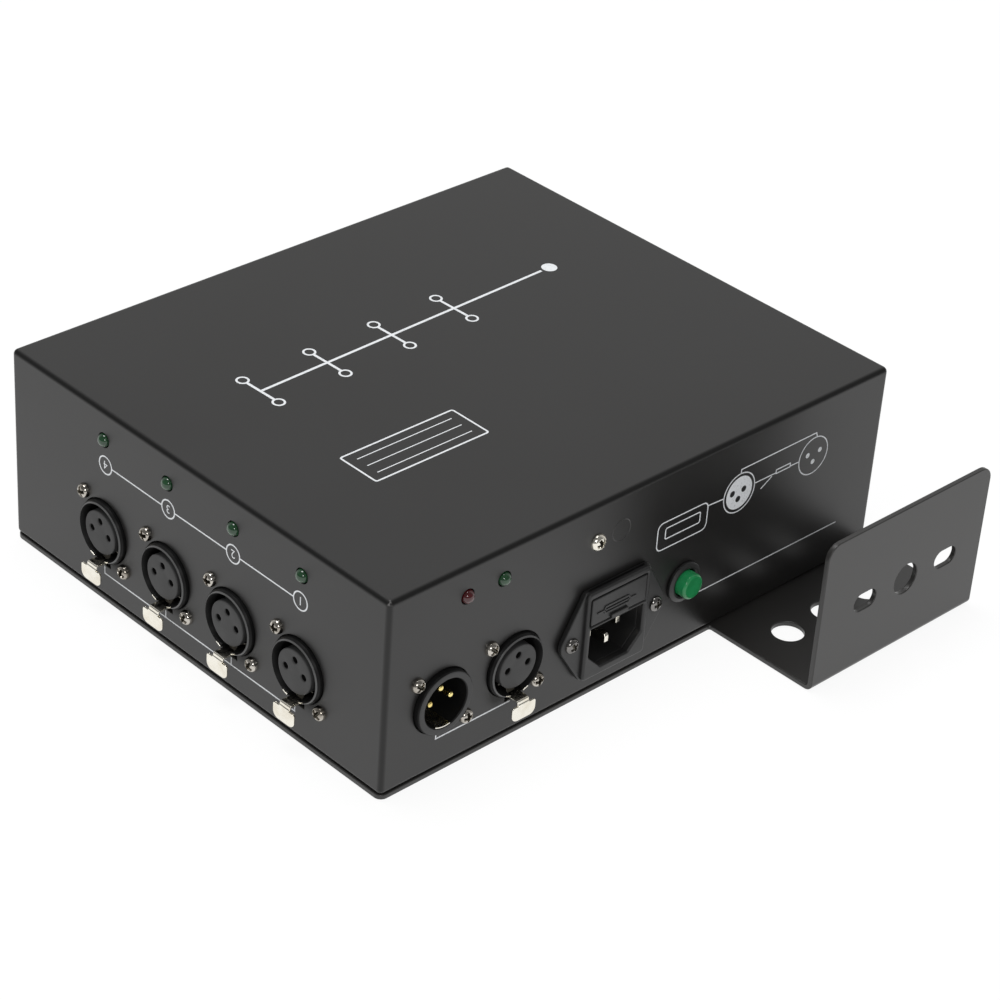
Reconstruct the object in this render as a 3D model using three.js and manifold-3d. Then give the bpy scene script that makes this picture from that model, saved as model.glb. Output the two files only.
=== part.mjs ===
// An eight way splitter for stage lighting control signals, lying on its base plate.
// A five sided cover, folded from steel sheet, stands on a base plate that is bent up into a
// hanging bracket at one end. Four output sockets sit in the front panel and four in the rear one,
// and the end panel holds the input, the through output, the mains inlet and the terminator button.
// Lengths are millimetres, +Z is up, and the origin is the middle of the base plate's underside.
import * as THREE from 'three';
import { RoundedBoxGeometry } from 'three/addons/geometries/RoundedBoxGeometry.js';
import { mergeVertices } from 'three/addons/utils/BufferGeometryUtils.js';
import Module from 'manifold-3d';

const wasm = await Module();
wasm.setup();

// Driving dimensions

const box = { width: 198, depth: 238, height: 78, sheet: 1.2, bendRadius: 2, lip: 10, lipRelief: 3 };
const base = { thickness: 2, cornerRadius: 3, standoffRadius: 3, standoffHeight: 6 };
const bracket = {
  width: 86,
  pastRear: 3.4,
  reach: 48,
  height: 59.5,
  bendRadius: 3,
  cornerRadius: 5.5,
  holeRadius: 6,
  slotLength: 11.5,
  slotWidth: 7,
  pitch: 21.5,
  rowHeight: 28.6,
  rowOffset: 1.8,
  plateHoleRadius: 5.9,
  platePitch: 21,
  plateReach: 20,
  plateOffset: -2.9,
};
const fit = { seat: 0.3, running: 0.3, screw: 0.3, overrun: 1 };

// Places on the panels: along from the corner that the end panel shares with the front one, up from
// the base plate's underside, and down from the top of the case

const outputs = { perPanel: 4, pitch: 34.65, firstAlong: 41.575, height: 29.3 };
const endPanel = {
  inputAlong: 25.1,
  throughAlong: 57.4,
  powerLampAlong: 34,
  signalLampAlong: 50.1,
  inletAlong: 102.1,
  inletHeight: 27.8,
  earthAlong: 92.8,
  earthDown: 15.2,
  buttonAlong: 137.6,
  buttonHeight: 28.5,
};
const lampDown = 11.8;

// Sizes of the pieces that the panels carry

const socket = {
  radius: 12,
  rimHeight: 2.3,
  rimTaper: 1.05,
  taperHeight: 1.3,
  mouthChamfer: 0.85,
  bodyDepth: 18,
  boreRadius: 9.9,
  boreDepth: 11,
  insertRadius: 8.3,
  insertHeight: 2,
  contactCircle: 4.55,
  contactRadius: 1.25,
  contactDepth: 9,
  flangeSize: 26.5,
  flangeThickness: 2,
  flangeCorner: 3,
  screwOffset: 11.15,
  screwRadius: 1.5,
};
const inputSocket = {
  mouthRadius: 9.2,
  mouthChamfer: 0.4,
  rimChamfer: 0.7,
  floorDepth: 12.5,
  pinRadius: 1.2,
  pinDepth: 0.1,
  pinTip: 0.5,
  pinFlatRadius: 0.6,
};
const latch = {
  width: 5.2,
  thickness: 0.8,
  pivotDepth: 6,
  eyeRadius: 1,
  reach: 5.4,
  neckSlope: 0.8,
  hookStart: -1.8,
  hookPeak: -1.2,
  hookEnd: 0.6,
  tabDrop: 0.8,
  tabWidth: 10.6,
  tabLength: 5.8,
  tabCorner: 1,
  tabRound: 2.6,
  swing: 2.2,
};
const lamp = {
  radius: 2.5,
  height: 2,
  flangeRadius: 3.1,
  flangeThickness: 1,
  bodyDepth: 5,
  legGap: 2.54,
  legSize: 0.5,
};
const inlet = {
  flangeWidth: 50,
  flangeHeight: 35.6,
  flangeFlat: 29.8,
  earThickness: 2,
  screwPitch: 40,
  screwDrop: 1,
  faceHeight: 3.8,
  faceChamfer: 1.2,
  bodyWidth: 28.4,
  bodyHeight: 33,
  bodyDepth: 24,
  bodyCorner: 1.5,
  screwRadius: 1.5,
  screwHeadRadius: 2.9,
  screwHeadHeight: 1.7,
  screwLength: 9,
};
const mainsSocket = { width: 25.2, height: 17.4, chamfer: 6, drop: 5.8, depth: 17 };
const blade = {
  thickness: 2,
  height: 4,
  spread: 7,
  lineRise: 1.4,
  earthDrop: 2.6,
  lineRecess: 6.1,
  earthRecess: 4.2,
  chamfer: 0.6,
  tail: 6,
};
const drawer = {
  width: 26,
  height: 10.4,
  rise: 9.7,
  frontThickness: 3,
  trayWidth: 24,
  trayHeight: 8.6,
  trayDepth: 14,
  tabWidth: 8,
  tabHeight: 1.6,
  tabReach: 0.9,
  fuseLength: 20,
  fuseRadius: 2.6,
  fuseCapLength: 5,
  fuseGlassRadius: 2.4,
  floor: 1.2,
};
const button = {
  capRadius: 4.85,
  capEdge: 0.6,
  height: 5.6,
  travel: 3,
  bezelRadius: 7.7,
  bezelHeight: 1.6,
  bezelChamfer: 0.5,
  neckRadius: 6,
  bodyRadius: 7,
  bodyDepth: 20,
  nutThickness: 2.5,
  capDepth: 4.5,
};
const earth = {
  headRadius: 3.2,
  headHeight: 2.1,
  headCrown: 1.2,
  shankRadius: 1.9,
  nutRadius: 4,
  nutThickness: 3,
  length: 10,
};
const screwHead = { flatShare: 0.65 };
const coverScrew = { radius: 1.5, headRadius: 2.9, headHeight: 1.6, length: 7, inset: 30, recess: 0.2 };

// Sizes of what the case holds inside

const board = { thickness: 1.6, corner: 2 };
const mainBoard = { fromFarEnd: 15, fromSupply: 12, fromSocketBoard: 4.1 };
const chip = { rows: 3, width: 7, length: 10, height: 3.5, depthShares: [0.25, 0.6] };
const supplyBoard = { width: 42, depth: 104, fromTails: 3, pastInlet: 24.9 };
const standoffInset = 6;
const socketBoard = { bottom: 12, topDown: 6, margin: 12 };
const transformer = { width: 26, depth: 30, height: 24, bobbin: 3, coreInset: 4, place: 12 };
const capacitor = { radius: 8, height: 26, place: -24, rimRadius: 7.4, rim: 1 };
const terminalBlock = { width: 10, depth: 18, height: 10, place: -36 };
const wire = { radius: 1.1, sides: 8, steps: 10, rise: 6, bend: 5 };

// Facets on round shapes

const facets = {
  barrel: 18,
  turned: 15,
  lamp: 8,
  dome: 2,
  screw: 8,
  hole: 6,
  nut: 6,
  corner: 1,
  bend: 2,
  arc: 2,
};

const quarterTurn = Math.PI / 2;
const coverBottom = base.thickness;
const coverHeight = box.height - base.thickness;
const panelBack = -(box.sheet + fit.seat);
const bracketFace = box.width / 2 + bracket.reach;
const bracketMiddle = box.depth / 2 + bracket.pastRear - bracket.width / 2;
const halfRow = ((outputs.perPanel - 1) * outputs.pitch) / 2;
const rowMiddle = box.width / 2 - outputs.firstAlong - halfRow;
const lampHeight = box.height - lampDown;
const earthHeight = box.height - endPanel.earthDown;
const [inputAcross, throughAcross, powerLampAcross, signalLampAcross] = [
  endPanel.inputAlong, endPanel.throughAlong, endPanel.powerLampAlong, endPanel.signalLampAlong,
].map(fromCorner);
const [inletAcross, earthAcross, buttonAcross] = [
  endPanel.inletAlong, endPanel.earthAlong, endPanel.buttonAlong,
].map(fromCorner);
const latchArm = socket.radius - latch.thickness / 2;
const latchHook = (socket.insertRadius + socket.boreRadius) / 2;
const latchTab = socket.radius + latch.tabDrop;

function fromCorner(along) {
  return along - box.depth / 2;
}

// Solids: closed meshes that can be joined and cut

function toSolid(geometry) {
  const bare = new THREE.BufferGeometry();
  bare.setAttribute('position', geometry.attributes.position.clone());
  if (geometry.index) bare.setIndex(geometry.index.clone());
  const merged = mergeVertices(bare);
  const corners = [];
  const index = merged.index.array;
  for (let i = 0; i < index.length; i += 3) {
    const [a, b, c] = [index[i], index[i + 1], index[i + 2]];
    if (a !== b && b !== c && c !== a) corners.push(a, b, c);
  }
  return new wasm.Manifold(new wasm.Mesh({
    numProp: 3,
    vertProperties: new Float32Array(merged.attributes.position.array),
    triVerts: new Uint32Array(corners),
  }));
}

function toGeometry(solid) {
  const mesh = solid.getMesh();
  const geometry = new THREE.BufferGeometry();
  geometry.setAttribute('position', new THREE.BufferAttribute(mesh.vertProperties, 3));
  geometry.setIndex(new THREE.BufferAttribute(mesh.triVerts, 1));
  geometry.computeVertexNormals();
  return geometry;
}

function join(...geometries) {
  return geometries.map(toSolid).reduce((whole, next) => whole.add(next));
}

function cut(solid, geometries) {
  return geometries.map(toSolid).reduce((whole, tool) => whole.subtract(tool), solid);
}

// Shape helpers

function outline(points) {
  return new THREE.Shape(points.map(([x, y]) => new THREE.Vector2(x, y)));
}

function plate(shape, from, to, arcFacets = facets.arc) {
  const slab = new THREE.ExtrudeGeometry(shape, {
    depth: to - from,
    bevelEnabled: false,
    curveSegments: arcFacets,
  });
  return slab.translate(0, 0, from);
}

function roundedRectangle(width, height, radii, x = 0, y = 0) {
  const [topLeft, topRight, bottomRight, bottomLeft] = Array.isArray(radii) ? radii : Array(4).fill(radii);
  const left = x - width / 2;
  const right = x + width / 2;
  const bottom = y - height / 2;
  const top = y + height / 2;
  const shape = new THREE.Shape();
  shape.moveTo(left + bottomLeft, bottom);
  shape.lineTo(right - bottomRight, bottom);
  if (bottomRight) shape.absarc(right - bottomRight, bottom + bottomRight, bottomRight, -quarterTurn, 0);
  shape.lineTo(right, top - topRight);
  if (topRight) shape.absarc(right - topRight, top - topRight, topRight, 0, quarterTurn);
  shape.lineTo(left + topLeft, top);
  if (topLeft) shape.absarc(left + topLeft, top - topLeft, topLeft, quarterTurn, 2 * quarterTurn);
  shape.lineTo(left, bottom + bottomLeft);
  if (bottomLeft) {
    shape.absarc(left + bottomLeft, bottom + bottomLeft, bottomLeft, 2 * quarterTurn, 3 * quarterTurn);
  }
  return shape;
}

function rod(radius, from, to, sides, x = 0, y = 0) {
  const cylinder = new THREE.CylinderGeometry(radius, radius, to - from, sides);
  return cylinder.rotateX(quarterTurn).translate(x, y, (from + to) / 2);
}

function block(width, height, from, to, x = 0, y = 0) {
  return new THREE.BoxGeometry(width, height, to - from).translate(x, y, (from + to) / 2);
}

// A profile of radius and height points, turned about the axis that stands off the panel
function turned(profile, sides) {
  const points = profile.map(([radius, height]) => new THREE.Vector2(radius, height));
  return new THREE.LatheGeometry(points, sides).rotateX(quarterTurn);
}

// A profile of height and drop points, seen from the side and carried straight across
function across(profile, width) {
  const slab = plate(outline(profile), -width / 2, width / 2);
  return slab.rotateY(-quarterTurn);
}

// Materials

function material(color, roughness, metalness = 0) {
  return new THREE.MeshStandardMaterial({ color, roughness, metalness });
}

const finishes = {
  powderCoat: material(0x2b2b29, 0.55, 0.1),
  socketPlastic: material(0x1b1b1c, 0.5),
  inletPlastic: material(0x202021, 0.45),
  nickel: material(0xe6e1d4, 0.25, 1),
  gold: material(0xd9a441, 0.25, 1),
  zinc: material(0xb9b9b4, 0.35, 1),
  greenLens: material(0x1d6b34, 0.15),
  redLens: material(0x5e1512, 0.15),
  greenButton: material(0x1f9a52, 0.35),
  circuitBoard: material(0x1f5a33, 0.6),
  core: material(0x3a3a3c, 0.6, 0.3),
  canSleeve: material(0x23262e, 0.4),
  glass: material(0xdfe6e6, 0.1),
  brownWire: material(0x6b3f22, 0.5),
  blueWire: material(0x27509a, 0.5),
  earthWire: material(0x7f9b2c, 0.5),
  redWire: material(0xa02620, 0.5),
};

const splitter = new THREE.Group();

function addPiece(parent, name, geometry, finish, x = 0, y = 0, z = 0) {
  const mesh = new THREE.Mesh(geometry, finish);
  mesh.name = name;
  mesh.position.set(x, y, z);
  parent.add(mesh);
  return mesh;
}

// Panels: across is local X, up is local Y, and outwards is local Z, from the panel's outer face

function makePanel(turn, distance) {
  const panel = new THREE.Group();
  panel.rotation.set(quarterTurn, 0, turn, 'ZYX');
  panel.position.set(Math.sin(turn) * distance, -Math.cos(turn) * distance, 0);
  panel.updateMatrixWorld();
  splitter.add(panel);
  return { group: panel, openings: [] };
}

const front = makePanel(0, box.depth / 2);
const end = makePanel(quarterTurn, box.width / 2);
const rear = makePanel(2 * quarterTurn, box.depth / 2);

function openPanel(panel, tool, x, y) {
  panel.openings.push(tool.translate(x, y, 0).applyMatrix4(panel.group.matrixWorld));
}

const holeFrom = -(box.sheet + fit.overrun);
const holeTo = fit.overrun;

// Output socket: a moulded housing whose round collar stands out of the panel round the insert

function contactPlaces() {
  const circle = socket.contactCircle;
  return [[-circle, 0], [0, circle], [circle, 0]];
}

function screwPlaces() {
  const offset = socket.screwOffset;
  return [[-offset, offset], [offset, -offset]];
}

function socketFlange() {
  const shape = roundedRectangle(socket.flangeSize, socket.flangeSize, socket.flangeCorner);
  const slab = toSolid(plate(shape, panelBack - socket.flangeThickness, panelBack, facets.corner));
  const collar = (socket.radius + socket.boreRadius) / 2;
  return toGeometry(cut(slab, [
    rod(collar, panelBack - socket.flangeThickness - fit.overrun, 0, facets.barrel),
  ]));
}

function flangeScrewHoles() {
  const from = panelBack - socket.flangeThickness - fit.overrun;
  return screwPlaces().map(([x, y]) => rod(socket.screwRadius, from, holeTo, facets.hole, x, y));
}

function latchSlot() {
  const slotWidth = latch.width + 2 * fit.running;
  const floor = -(latch.pivotDepth + latch.eyeRadius + fit.running);
  const top = socket.rimHeight + fit.overrun;
  const reach = socket.flangeSize / 2 + fit.overrun;
  return block(slotWidth, reach - socket.boreRadius + fit.overrun, floor, top, 0,
    -(reach + socket.boreRadius - fit.overrun) / 2);
}

function femaleSocket() {
  const rim = socket.rimHeight;
  const housing = turned([
    [0, -socket.bodyDepth],
    [socket.radius, -socket.bodyDepth],
    [socket.radius, rim - socket.taperHeight],
    [socket.radius - socket.rimTaper, rim],
    [socket.boreRadius + socket.mouthChamfer, rim],
    [socket.boreRadius, rim - socket.mouthChamfer],
    [socket.boreRadius, -socket.boreDepth],
    [socket.insertRadius, -socket.boreDepth],
    [socket.insertRadius, socket.insertHeight],
    [0, socket.insertHeight],
  ], facets.barrel);
  const contacts = contactPlaces().map(([x, y]) => rod(
    socket.contactRadius,
    socket.insertHeight - socket.contactDepth,
    socket.insertHeight + fit.overrun,
    facets.hole, x, y,
  ));
  return cut(join(housing, socketFlange()), [...contacts, latchSlot(), ...flangeScrewHoles()]);
}

// Push latch: a stamped lever that hooks the plug, with a tab to press below the collar

function pushLatch() {
  const upper = -latchArm + latch.thickness / 2;
  const lower = -latchArm - latch.thickness / 2;
  const tabFace = latch.reach + latch.neckSlope;
  const arm = across([
    [-latch.pivotDepth, upper],
    [latch.hookStart, upper],
    [latch.hookPeak, -latchHook],
    [latch.hookEnd, upper],
    [latch.reach, upper],
    [tabFace, -latchTab - latch.thickness],
    [tabFace - latch.thickness, -latchTab - latch.thickness],
    [latch.reach - latch.thickness, lower],
    [-latch.pivotDepth, lower],
  ], latch.width);
  const eye = rod(latch.eyeRadius, -latch.width / 2, latch.width / 2, facets.hole).rotateY(quarterTurn)
    .translate(0, -latchArm, -latch.pivotDepth);
  const tabShape = roundedRectangle(
    latch.tabWidth,
    latch.tabLength,
    [latch.tabCorner, latch.tabCorner, latch.tabRound, latch.tabRound],
    0,
    -latchTab - latch.tabLength / 2,
  );
  return join(arm, eye, plate(tabShape, tabFace - latch.thickness, tabFace));
}

function openForSocket(panel, x, y, withLatch) {
  const clear = socket.radius + fit.running;
  openPanel(panel, rod(clear, holeFrom, holeTo, facets.barrel), x, y);
  for (const [dx, dy] of screwPlaces()) {
    openPanel(panel, rod(socket.screwRadius, holeFrom, holeTo, facets.hole, dx, dy), x, y);
  }
  if (withLatch) {
    const bottom = socket.radius + latch.swing;
    const notch = block(latch.width + 4 * fit.running, bottom, holeFrom, holeTo, 0, -bottom / 2);
    openPanel(panel, notch, x, y);
  }
}

const femaleSocketShape = toGeometry(femaleSocket());
const pushLatchShape = toGeometry(pushLatch());

function addOutput(panel, socketName, latchName, x, y) {
  addPiece(panel.group, socketName, femaleSocketShape, finishes.socketPlastic, x, y);
  addPiece(panel.group, latchName, pushLatchShape, finishes.nickel, x, y);
  openForSocket(panel, x, y, true);
}

// Input socket: a plain collar round three pins

function maleSocket() {
  const rim = socket.rimHeight;
  const housing = turned([
    [0, -socket.bodyDepth],
    [socket.radius, -socket.bodyDepth],
    [socket.radius, rim - inputSocket.rimChamfer],
    [socket.radius - inputSocket.rimChamfer, rim],
    [inputSocket.mouthRadius + inputSocket.mouthChamfer, rim],
    [inputSocket.mouthRadius, rim - inputSocket.mouthChamfer],
    [inputSocket.mouthRadius, -inputSocket.floorDepth],
    [0, -inputSocket.floorDepth],
  ], facets.barrel);
  const pinHoles = contactPlaces().map(([x, y]) => rod(
    inputSocket.pinRadius + fit.running,
    -socket.bodyDepth - fit.overrun,
    fit.overrun - inputSocket.floorDepth,
    facets.screw, x, y,
  ));
  return cut(join(housing, socketFlange()), [...pinHoles, ...flangeScrewHoles()]);
}

function inputPin() {
  const tip = -inputSocket.pinDepth;
  return turned([
    [0, -socket.bodyDepth],
    [inputSocket.pinRadius, -socket.bodyDepth],
    [inputSocket.pinRadius, tip - inputSocket.pinTip],
    [inputSocket.pinFlatRadius, tip],
    [0, tip],
  ], facets.screw);
}

// Indicator lamp: a domed lens with a collar behind the panel and two legs

function indicatorLamp() {
  const domeStart = lamp.height - lamp.radius;
  const profile = [
    [0, -lamp.bodyDepth],
    [lamp.flangeRadius, -lamp.bodyDepth],
    [lamp.flangeRadius, -lamp.bodyDepth + lamp.flangeThickness],
    [lamp.radius, -lamp.bodyDepth + lamp.flangeThickness],
  ];
  for (let i = 0; i <= facets.dome; i += 1) {
    const angle = (quarterTurn * i) / facets.dome;
    const radius = i === facets.dome ? 0 : lamp.radius * Math.cos(angle);
    profile.push([radius, domeStart + lamp.radius * Math.sin(angle)]);
  }
  const legs = [-1, 1].map((side) => block(
    lamp.legSize, lamp.legSize, -socket.bodyDepth, -lamp.bodyDepth / 2, (side * lamp.legGap) / 2,
  ));
  return join(turned(profile, facets.lamp), ...legs);
}

const lampShape = toGeometry(indicatorLamp());

function addLamp(panel, name, finish, x, y) {
  addPiece(panel.group, name, lampShape, finish, x, y);
  openPanel(panel, rod(lamp.radius + fit.running, holeFrom, holeTo, facets.lamp), x, y);
}

// Outputs one to four in front and five to eight behind, read from the end with the inlet

function addOutputRow(panel, firstNumber, middle) {
  for (let i = 0; i < outputs.perPanel; i += 1) {
    const number = firstNumber + i;
    const x = middle + ((outputs.perPanel - 1) / 2 - i) * outputs.pitch;
    addOutput(panel, `output_socket_${number}`, `output_latch_${number}`, x, outputs.height);
    addLamp(panel, `output_lamp_${number}`, finishes.greenLens, x, lampHeight);
  }
}

addOutputRow(front, 1, rowMiddle);
addOutputRow(rear, 1 + outputs.perPanel, -rowMiddle);

addOutput(end, 'through_socket', 'through_latch', throughAcross, outputs.height);
addPiece(end.group, 'input_socket', toGeometry(maleSocket()), finishes.socketPlastic,
  inputAcross, outputs.height);
openForSocket(end, inputAcross, outputs.height, false);
const inputPinShape = toGeometry(toSolid(inputPin()));
contactPlaces().forEach(([x, y], i) => addPiece(
  end.group, `input_pin_${i + 1}`, inputPinShape, finishes.gold,
  inputAcross + x, outputs.height + y,
));
addLamp(end, 'power_lamp', finishes.redLens, powerLampAcross, lampHeight);
addLamp(end, 'signal_lamp', finishes.greenLens, signalLampAcross, lampHeight);

// Mains inlet: an eared flange, a raised face, a recess for the plug and a pocket for the fuse drawer

function inletFlange() {
  const tip = inlet.flangeWidth / 2;
  const flat = inlet.flangeFlat / 2;
  const top = inlet.flangeHeight / 2;
  const eyeX = inlet.screwPitch / 2;
  const eyeY = -inlet.screwDrop;
  const round = tip - eyeX;
  const shape = new THREE.Shape();
  shape.moveTo(-flat, top);
  const lean = Math.atan2(top - eyeY, eyeX - flat) / 2;
  shape.absarc(-eyeX, eyeY, round, 2 * quarterTurn - lean, 2 * quarterTurn + lean);
  shape.lineTo(-flat, -top);
  shape.lineTo(flat, -top);
  shape.absarc(eyeX, eyeY, round, -lean, lean);
  shape.lineTo(flat, top);
  return plate(shape, fit.seat, inlet.earThickness + fit.seat);
}

function inletFace() {
  const inset = 2 * inlet.faceChamfer;
  const shape = roundedRectangle(inlet.flangeFlat - inset, inlet.flangeHeight - inset, inlet.bodyCorner);
  return new THREE.ExtrudeGeometry(shape, {
    depth: inlet.faceHeight - inlet.faceChamfer,
    bevelThickness: inlet.faceChamfer,
    bevelSize: inlet.faceChamfer,
    bevelSegments: facets.corner,
    curveSegments: facets.corner,
  });
}

function mainsRecess() {
  const halfWidth = mainsSocket.width / 2;
  const top = mainsSocket.height / 2 - mainsSocket.drop;
  const bottom = -mainsSocket.height / 2 - mainsSocket.drop;
  const shape = outline([
    [-halfWidth, top],
    [-halfWidth, bottom + mainsSocket.chamfer],
    [-halfWidth + mainsSocket.chamfer, bottom],
    [halfWidth - mainsSocket.chamfer, bottom],
    [halfWidth, bottom + mainsSocket.chamfer],
    [halfWidth, top],
  ]);
  return plate(shape, inlet.faceHeight - mainsSocket.depth, inlet.faceHeight + fit.overrun);
}

function bladePlaces() {
  const lineY = blade.lineRise - mainsSocket.drop;
  return {
    inlet_live_blade: [-blade.spread, lineY, blade.lineRecess],
    inlet_neutral_blade: [blade.spread, lineY, blade.lineRecess],
    inlet_earth_blade: [0, -blade.earthDrop - mainsSocket.drop, blade.earthRecess],
  };
}

function mainsInlet() {
  const rearBody = plate(
    roundedRectangle(inlet.bodyWidth, inlet.bodyHeight, inlet.bodyCorner),
    -inlet.bodyDepth, fit.overrun, facets.corner,
  );
  const slots = Object.values(bladePlaces()).map(([x, y]) => block(
    blade.thickness + 2 * fit.running,
    blade.height + 2 * fit.running,
    -inlet.bodyDepth - fit.overrun,
    inlet.faceHeight - mainsSocket.depth + fit.overrun,
    x, y,
  ));
  const room = 2 * fit.running;
  const frontRoom = block(drawer.width + room, drawer.height + room,
    inlet.faceHeight - drawer.frontThickness - fit.running, inlet.faceHeight + fit.overrun, 0, drawer.rise);
  const trayFloor = inlet.faceHeight - drawer.frontThickness - drawer.trayDepth - fit.running;
  const trayRoom = block(drawer.trayWidth + room, drawer.trayHeight + room,
    trayFloor, inlet.faceHeight, 0, drawer.rise);
  const ears = [-1, 1].map((side) => rod(
    inlet.screwRadius + fit.screw, -fit.overrun, inlet.faceHeight, facets.hole,
    (side * inlet.screwPitch) / 2, -inlet.screwDrop,
  ));
  const body = join(inletFlange(), clippedFace(), rearBody);
  return cut(body, [mainsRecess(), ...slots, frontRoom, trayRoom, ...ears]);
}

// The raised face starts at the flange's back, so that nothing of it reaches the panel
function clippedFace() {
  return toGeometry(cut(toSolid(inletFace()), [
    block(inlet.flangeWidth, 2 * inlet.flangeHeight, -inlet.faceHeight, fit.seat),
  ]));
}

function inletBlade(recess) {
  const half = blade.height / 2;
  const tip = inlet.faceHeight - recess;
  return toGeometry(toSolid(across([
    [-inlet.bodyDepth - blade.tail, -half],
    [tip - blade.chamfer, -half],
    [tip, -half + blade.chamfer],
    [tip, half - blade.chamfer],
    [tip - blade.chamfer, half],
    [-inlet.bodyDepth - blade.tail, half],
  ], blade.thickness)));
}

// Fuse drawer: a front plate with a lip to pull, and a tray that holds the fuse crosswise

function fusePlace() {
  return inlet.faceHeight - drawer.frontThickness - drawer.trayDepth / 2;
}

function fuseDrawer() {
  const faceBack = inlet.faceHeight - drawer.frontThickness;
  const frontPlate = block(drawer.width, drawer.height, faceBack, inlet.faceHeight);
  const trayBack = faceBack - drawer.trayDepth;
  const tray = block(drawer.trayWidth, drawer.trayHeight, trayBack, faceBack + fit.overrun);
  const lip = block(drawer.tabWidth, drawer.tabHeight, faceBack, inlet.faceHeight + drawer.tabReach, 0,
    (drawer.tabHeight - drawer.height) / 2);
  const pocketHeight = drawer.trayHeight - drawer.floor + fit.overrun;
  const pocketDepth = drawer.fuseRadius + fit.running;
  const pocket = block(
    drawer.fuseLength + 2 * fit.running, pocketHeight,
    fusePlace() - pocketDepth, fusePlace() + pocketDepth,
    0, (drawer.floor + fit.overrun) / 2,
  );
  return cut(join(frontPlate, tray, lip), [pocket]);
}

function fuseCartridge() {
  const half = drawer.fuseLength / 2;
  const glassEnd = half - drawer.fuseCapLength;
  return turned([
    [0, -half],
    [drawer.fuseRadius, -half],
    [drawer.fuseRadius, -glassEnd],
    [drawer.fuseGlassRadius, -glassEnd],
    [drawer.fuseGlassRadius, glassEnd],
    [drawer.fuseRadius, glassEnd],
    [drawer.fuseRadius, half],
    [0, half],
  ], facets.screw).rotateY(quarterTurn);
}

function panHead(radius, height, crown, shankRadius, length) {
  return turned([
    [0, fit.seat - length],
    [shankRadius, fit.seat - length],
    [shankRadius, fit.seat],
    [radius, fit.seat],
    [radius, fit.seat + crown],
    [radius * screwHead.flatShare, fit.seat + height],
    [0, fit.seat + height],
  ], facets.screw);
}

const inletFrame = new THREE.Group();
inletFrame.position.set(inletAcross, endPanel.inletHeight, 0);
end.group.add(inletFrame);
addPiece(inletFrame, 'mains_inlet', toGeometry(mainsInlet()), finishes.inletPlastic);
for (const [name, [x, y, recess]] of Object.entries(bladePlaces())) {
  addPiece(inletFrame, name, inletBlade(recess), finishes.nickel, x, y);
}
addPiece(inletFrame, 'fuse_drawer', toGeometry(fuseDrawer()), finishes.inletPlastic, 0, drawer.rise);
const fuseRise = drawer.rise - drawer.trayHeight / 2 + drawer.floor + fit.running + drawer.fuseRadius;
const fuseShape = toGeometry(toSolid(fuseCartridge()));
addPiece(inletFrame, 'fuse', fuseShape, finishes.glass, 0, fuseRise, fusePlace());
const inletScrewShape = toGeometry(toSolid(panHead(
  inlet.screwHeadRadius, inlet.screwHeadHeight, inlet.screwHeadHeight / 2,
  inlet.screwRadius, inlet.screwLength,
)));
[-1, 1].forEach((side, i) => addPiece(
  inletFrame, `inlet_screw_${i + 1}`, inletScrewShape, finishes.zinc,
  (side * inlet.screwPitch) / 2, -inlet.screwDrop, inlet.earThickness + fit.seat,
));
openPanel(end, plate(
  roundedRectangle(inlet.bodyWidth + 2 * fit.running, inlet.bodyHeight + 2 * fit.running, inlet.bodyCorner),
  holeFrom, holeTo, facets.corner,
), inletAcross, endPanel.inletHeight);
for (const side of [-1, 1]) {
  openPanel(end, rod(inlet.screwRadius + fit.screw, holeFrom, holeTo, facets.hole),
    inletAcross + (side * inlet.screwPitch) / 2, endPanel.inletHeight - inlet.screwDrop);
}

// Terminator switch: a bezel and a nut clamp its round body, and the cap slides in its bore

function terminatorSwitch() {
  const bezelTop = fit.seat + button.bezelHeight;
  const bore = button.capRadius + fit.running;
  const boreFloor = -(button.capDepth + button.travel + fit.running);
  return turned([
    [0, -button.bodyDepth],
    [button.neckRadius, -button.bodyDepth],
    [button.neckRadius, panelBack - button.nutThickness],
    [button.bodyRadius, panelBack - button.nutThickness],
    [button.bodyRadius, panelBack],
    [button.neckRadius, panelBack],
    [button.neckRadius, fit.seat],
    [button.bezelRadius, fit.seat],
    [button.bezelRadius, bezelTop - button.bezelChamfer],
    [button.bezelRadius - button.bezelChamfer, bezelTop],
    [bore, bezelTop],
    [bore, boreFloor],
    [0, boreFloor],
  ], facets.turned);
}

function buttonCap() {
  return turned([
    [0, -button.capDepth],
    [button.capRadius, -button.capDepth],
    [button.capRadius, button.height - button.capEdge],
    [button.capRadius - button.capEdge, button.height],
    [0, button.height],
  ], facets.turned);
}

addPiece(end.group, 'terminator_switch', toGeometry(toSolid(terminatorSwitch())), finishes.socketPlastic,
  buttonAcross, endPanel.buttonHeight);
addPiece(end.group, 'terminator_button', toGeometry(toSolid(buttonCap())), finishes.greenButton,
  buttonAcross, endPanel.buttonHeight);
openPanel(end, rod(button.neckRadius + fit.running, holeFrom, holeTo, facets.turned),
  buttonAcross, endPanel.buttonHeight);

// Earth screw: a pan head outside, with its nut and the ring of the earth wire inside

function earthScrew() {
  const nut = rod(earth.nutRadius, panelBack - earth.nutThickness, panelBack, facets.nut);
  const screw = panHead(
    earth.headRadius, earth.headHeight, earth.headCrown, earth.shankRadius, earth.length,
  );
  return join(screw, nut);
}

addPiece(end.group, 'earth_screw', toGeometry(earthScrew()), finishes.nickel,
  earthAcross, earthHeight);
openPanel(end, rod(earth.shankRadius + fit.screw, holeFrom, holeTo, facets.screw),
  earthAcross, earthHeight);

// Base plate: the plan of the case with a tongue, bent up into the bracket

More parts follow.
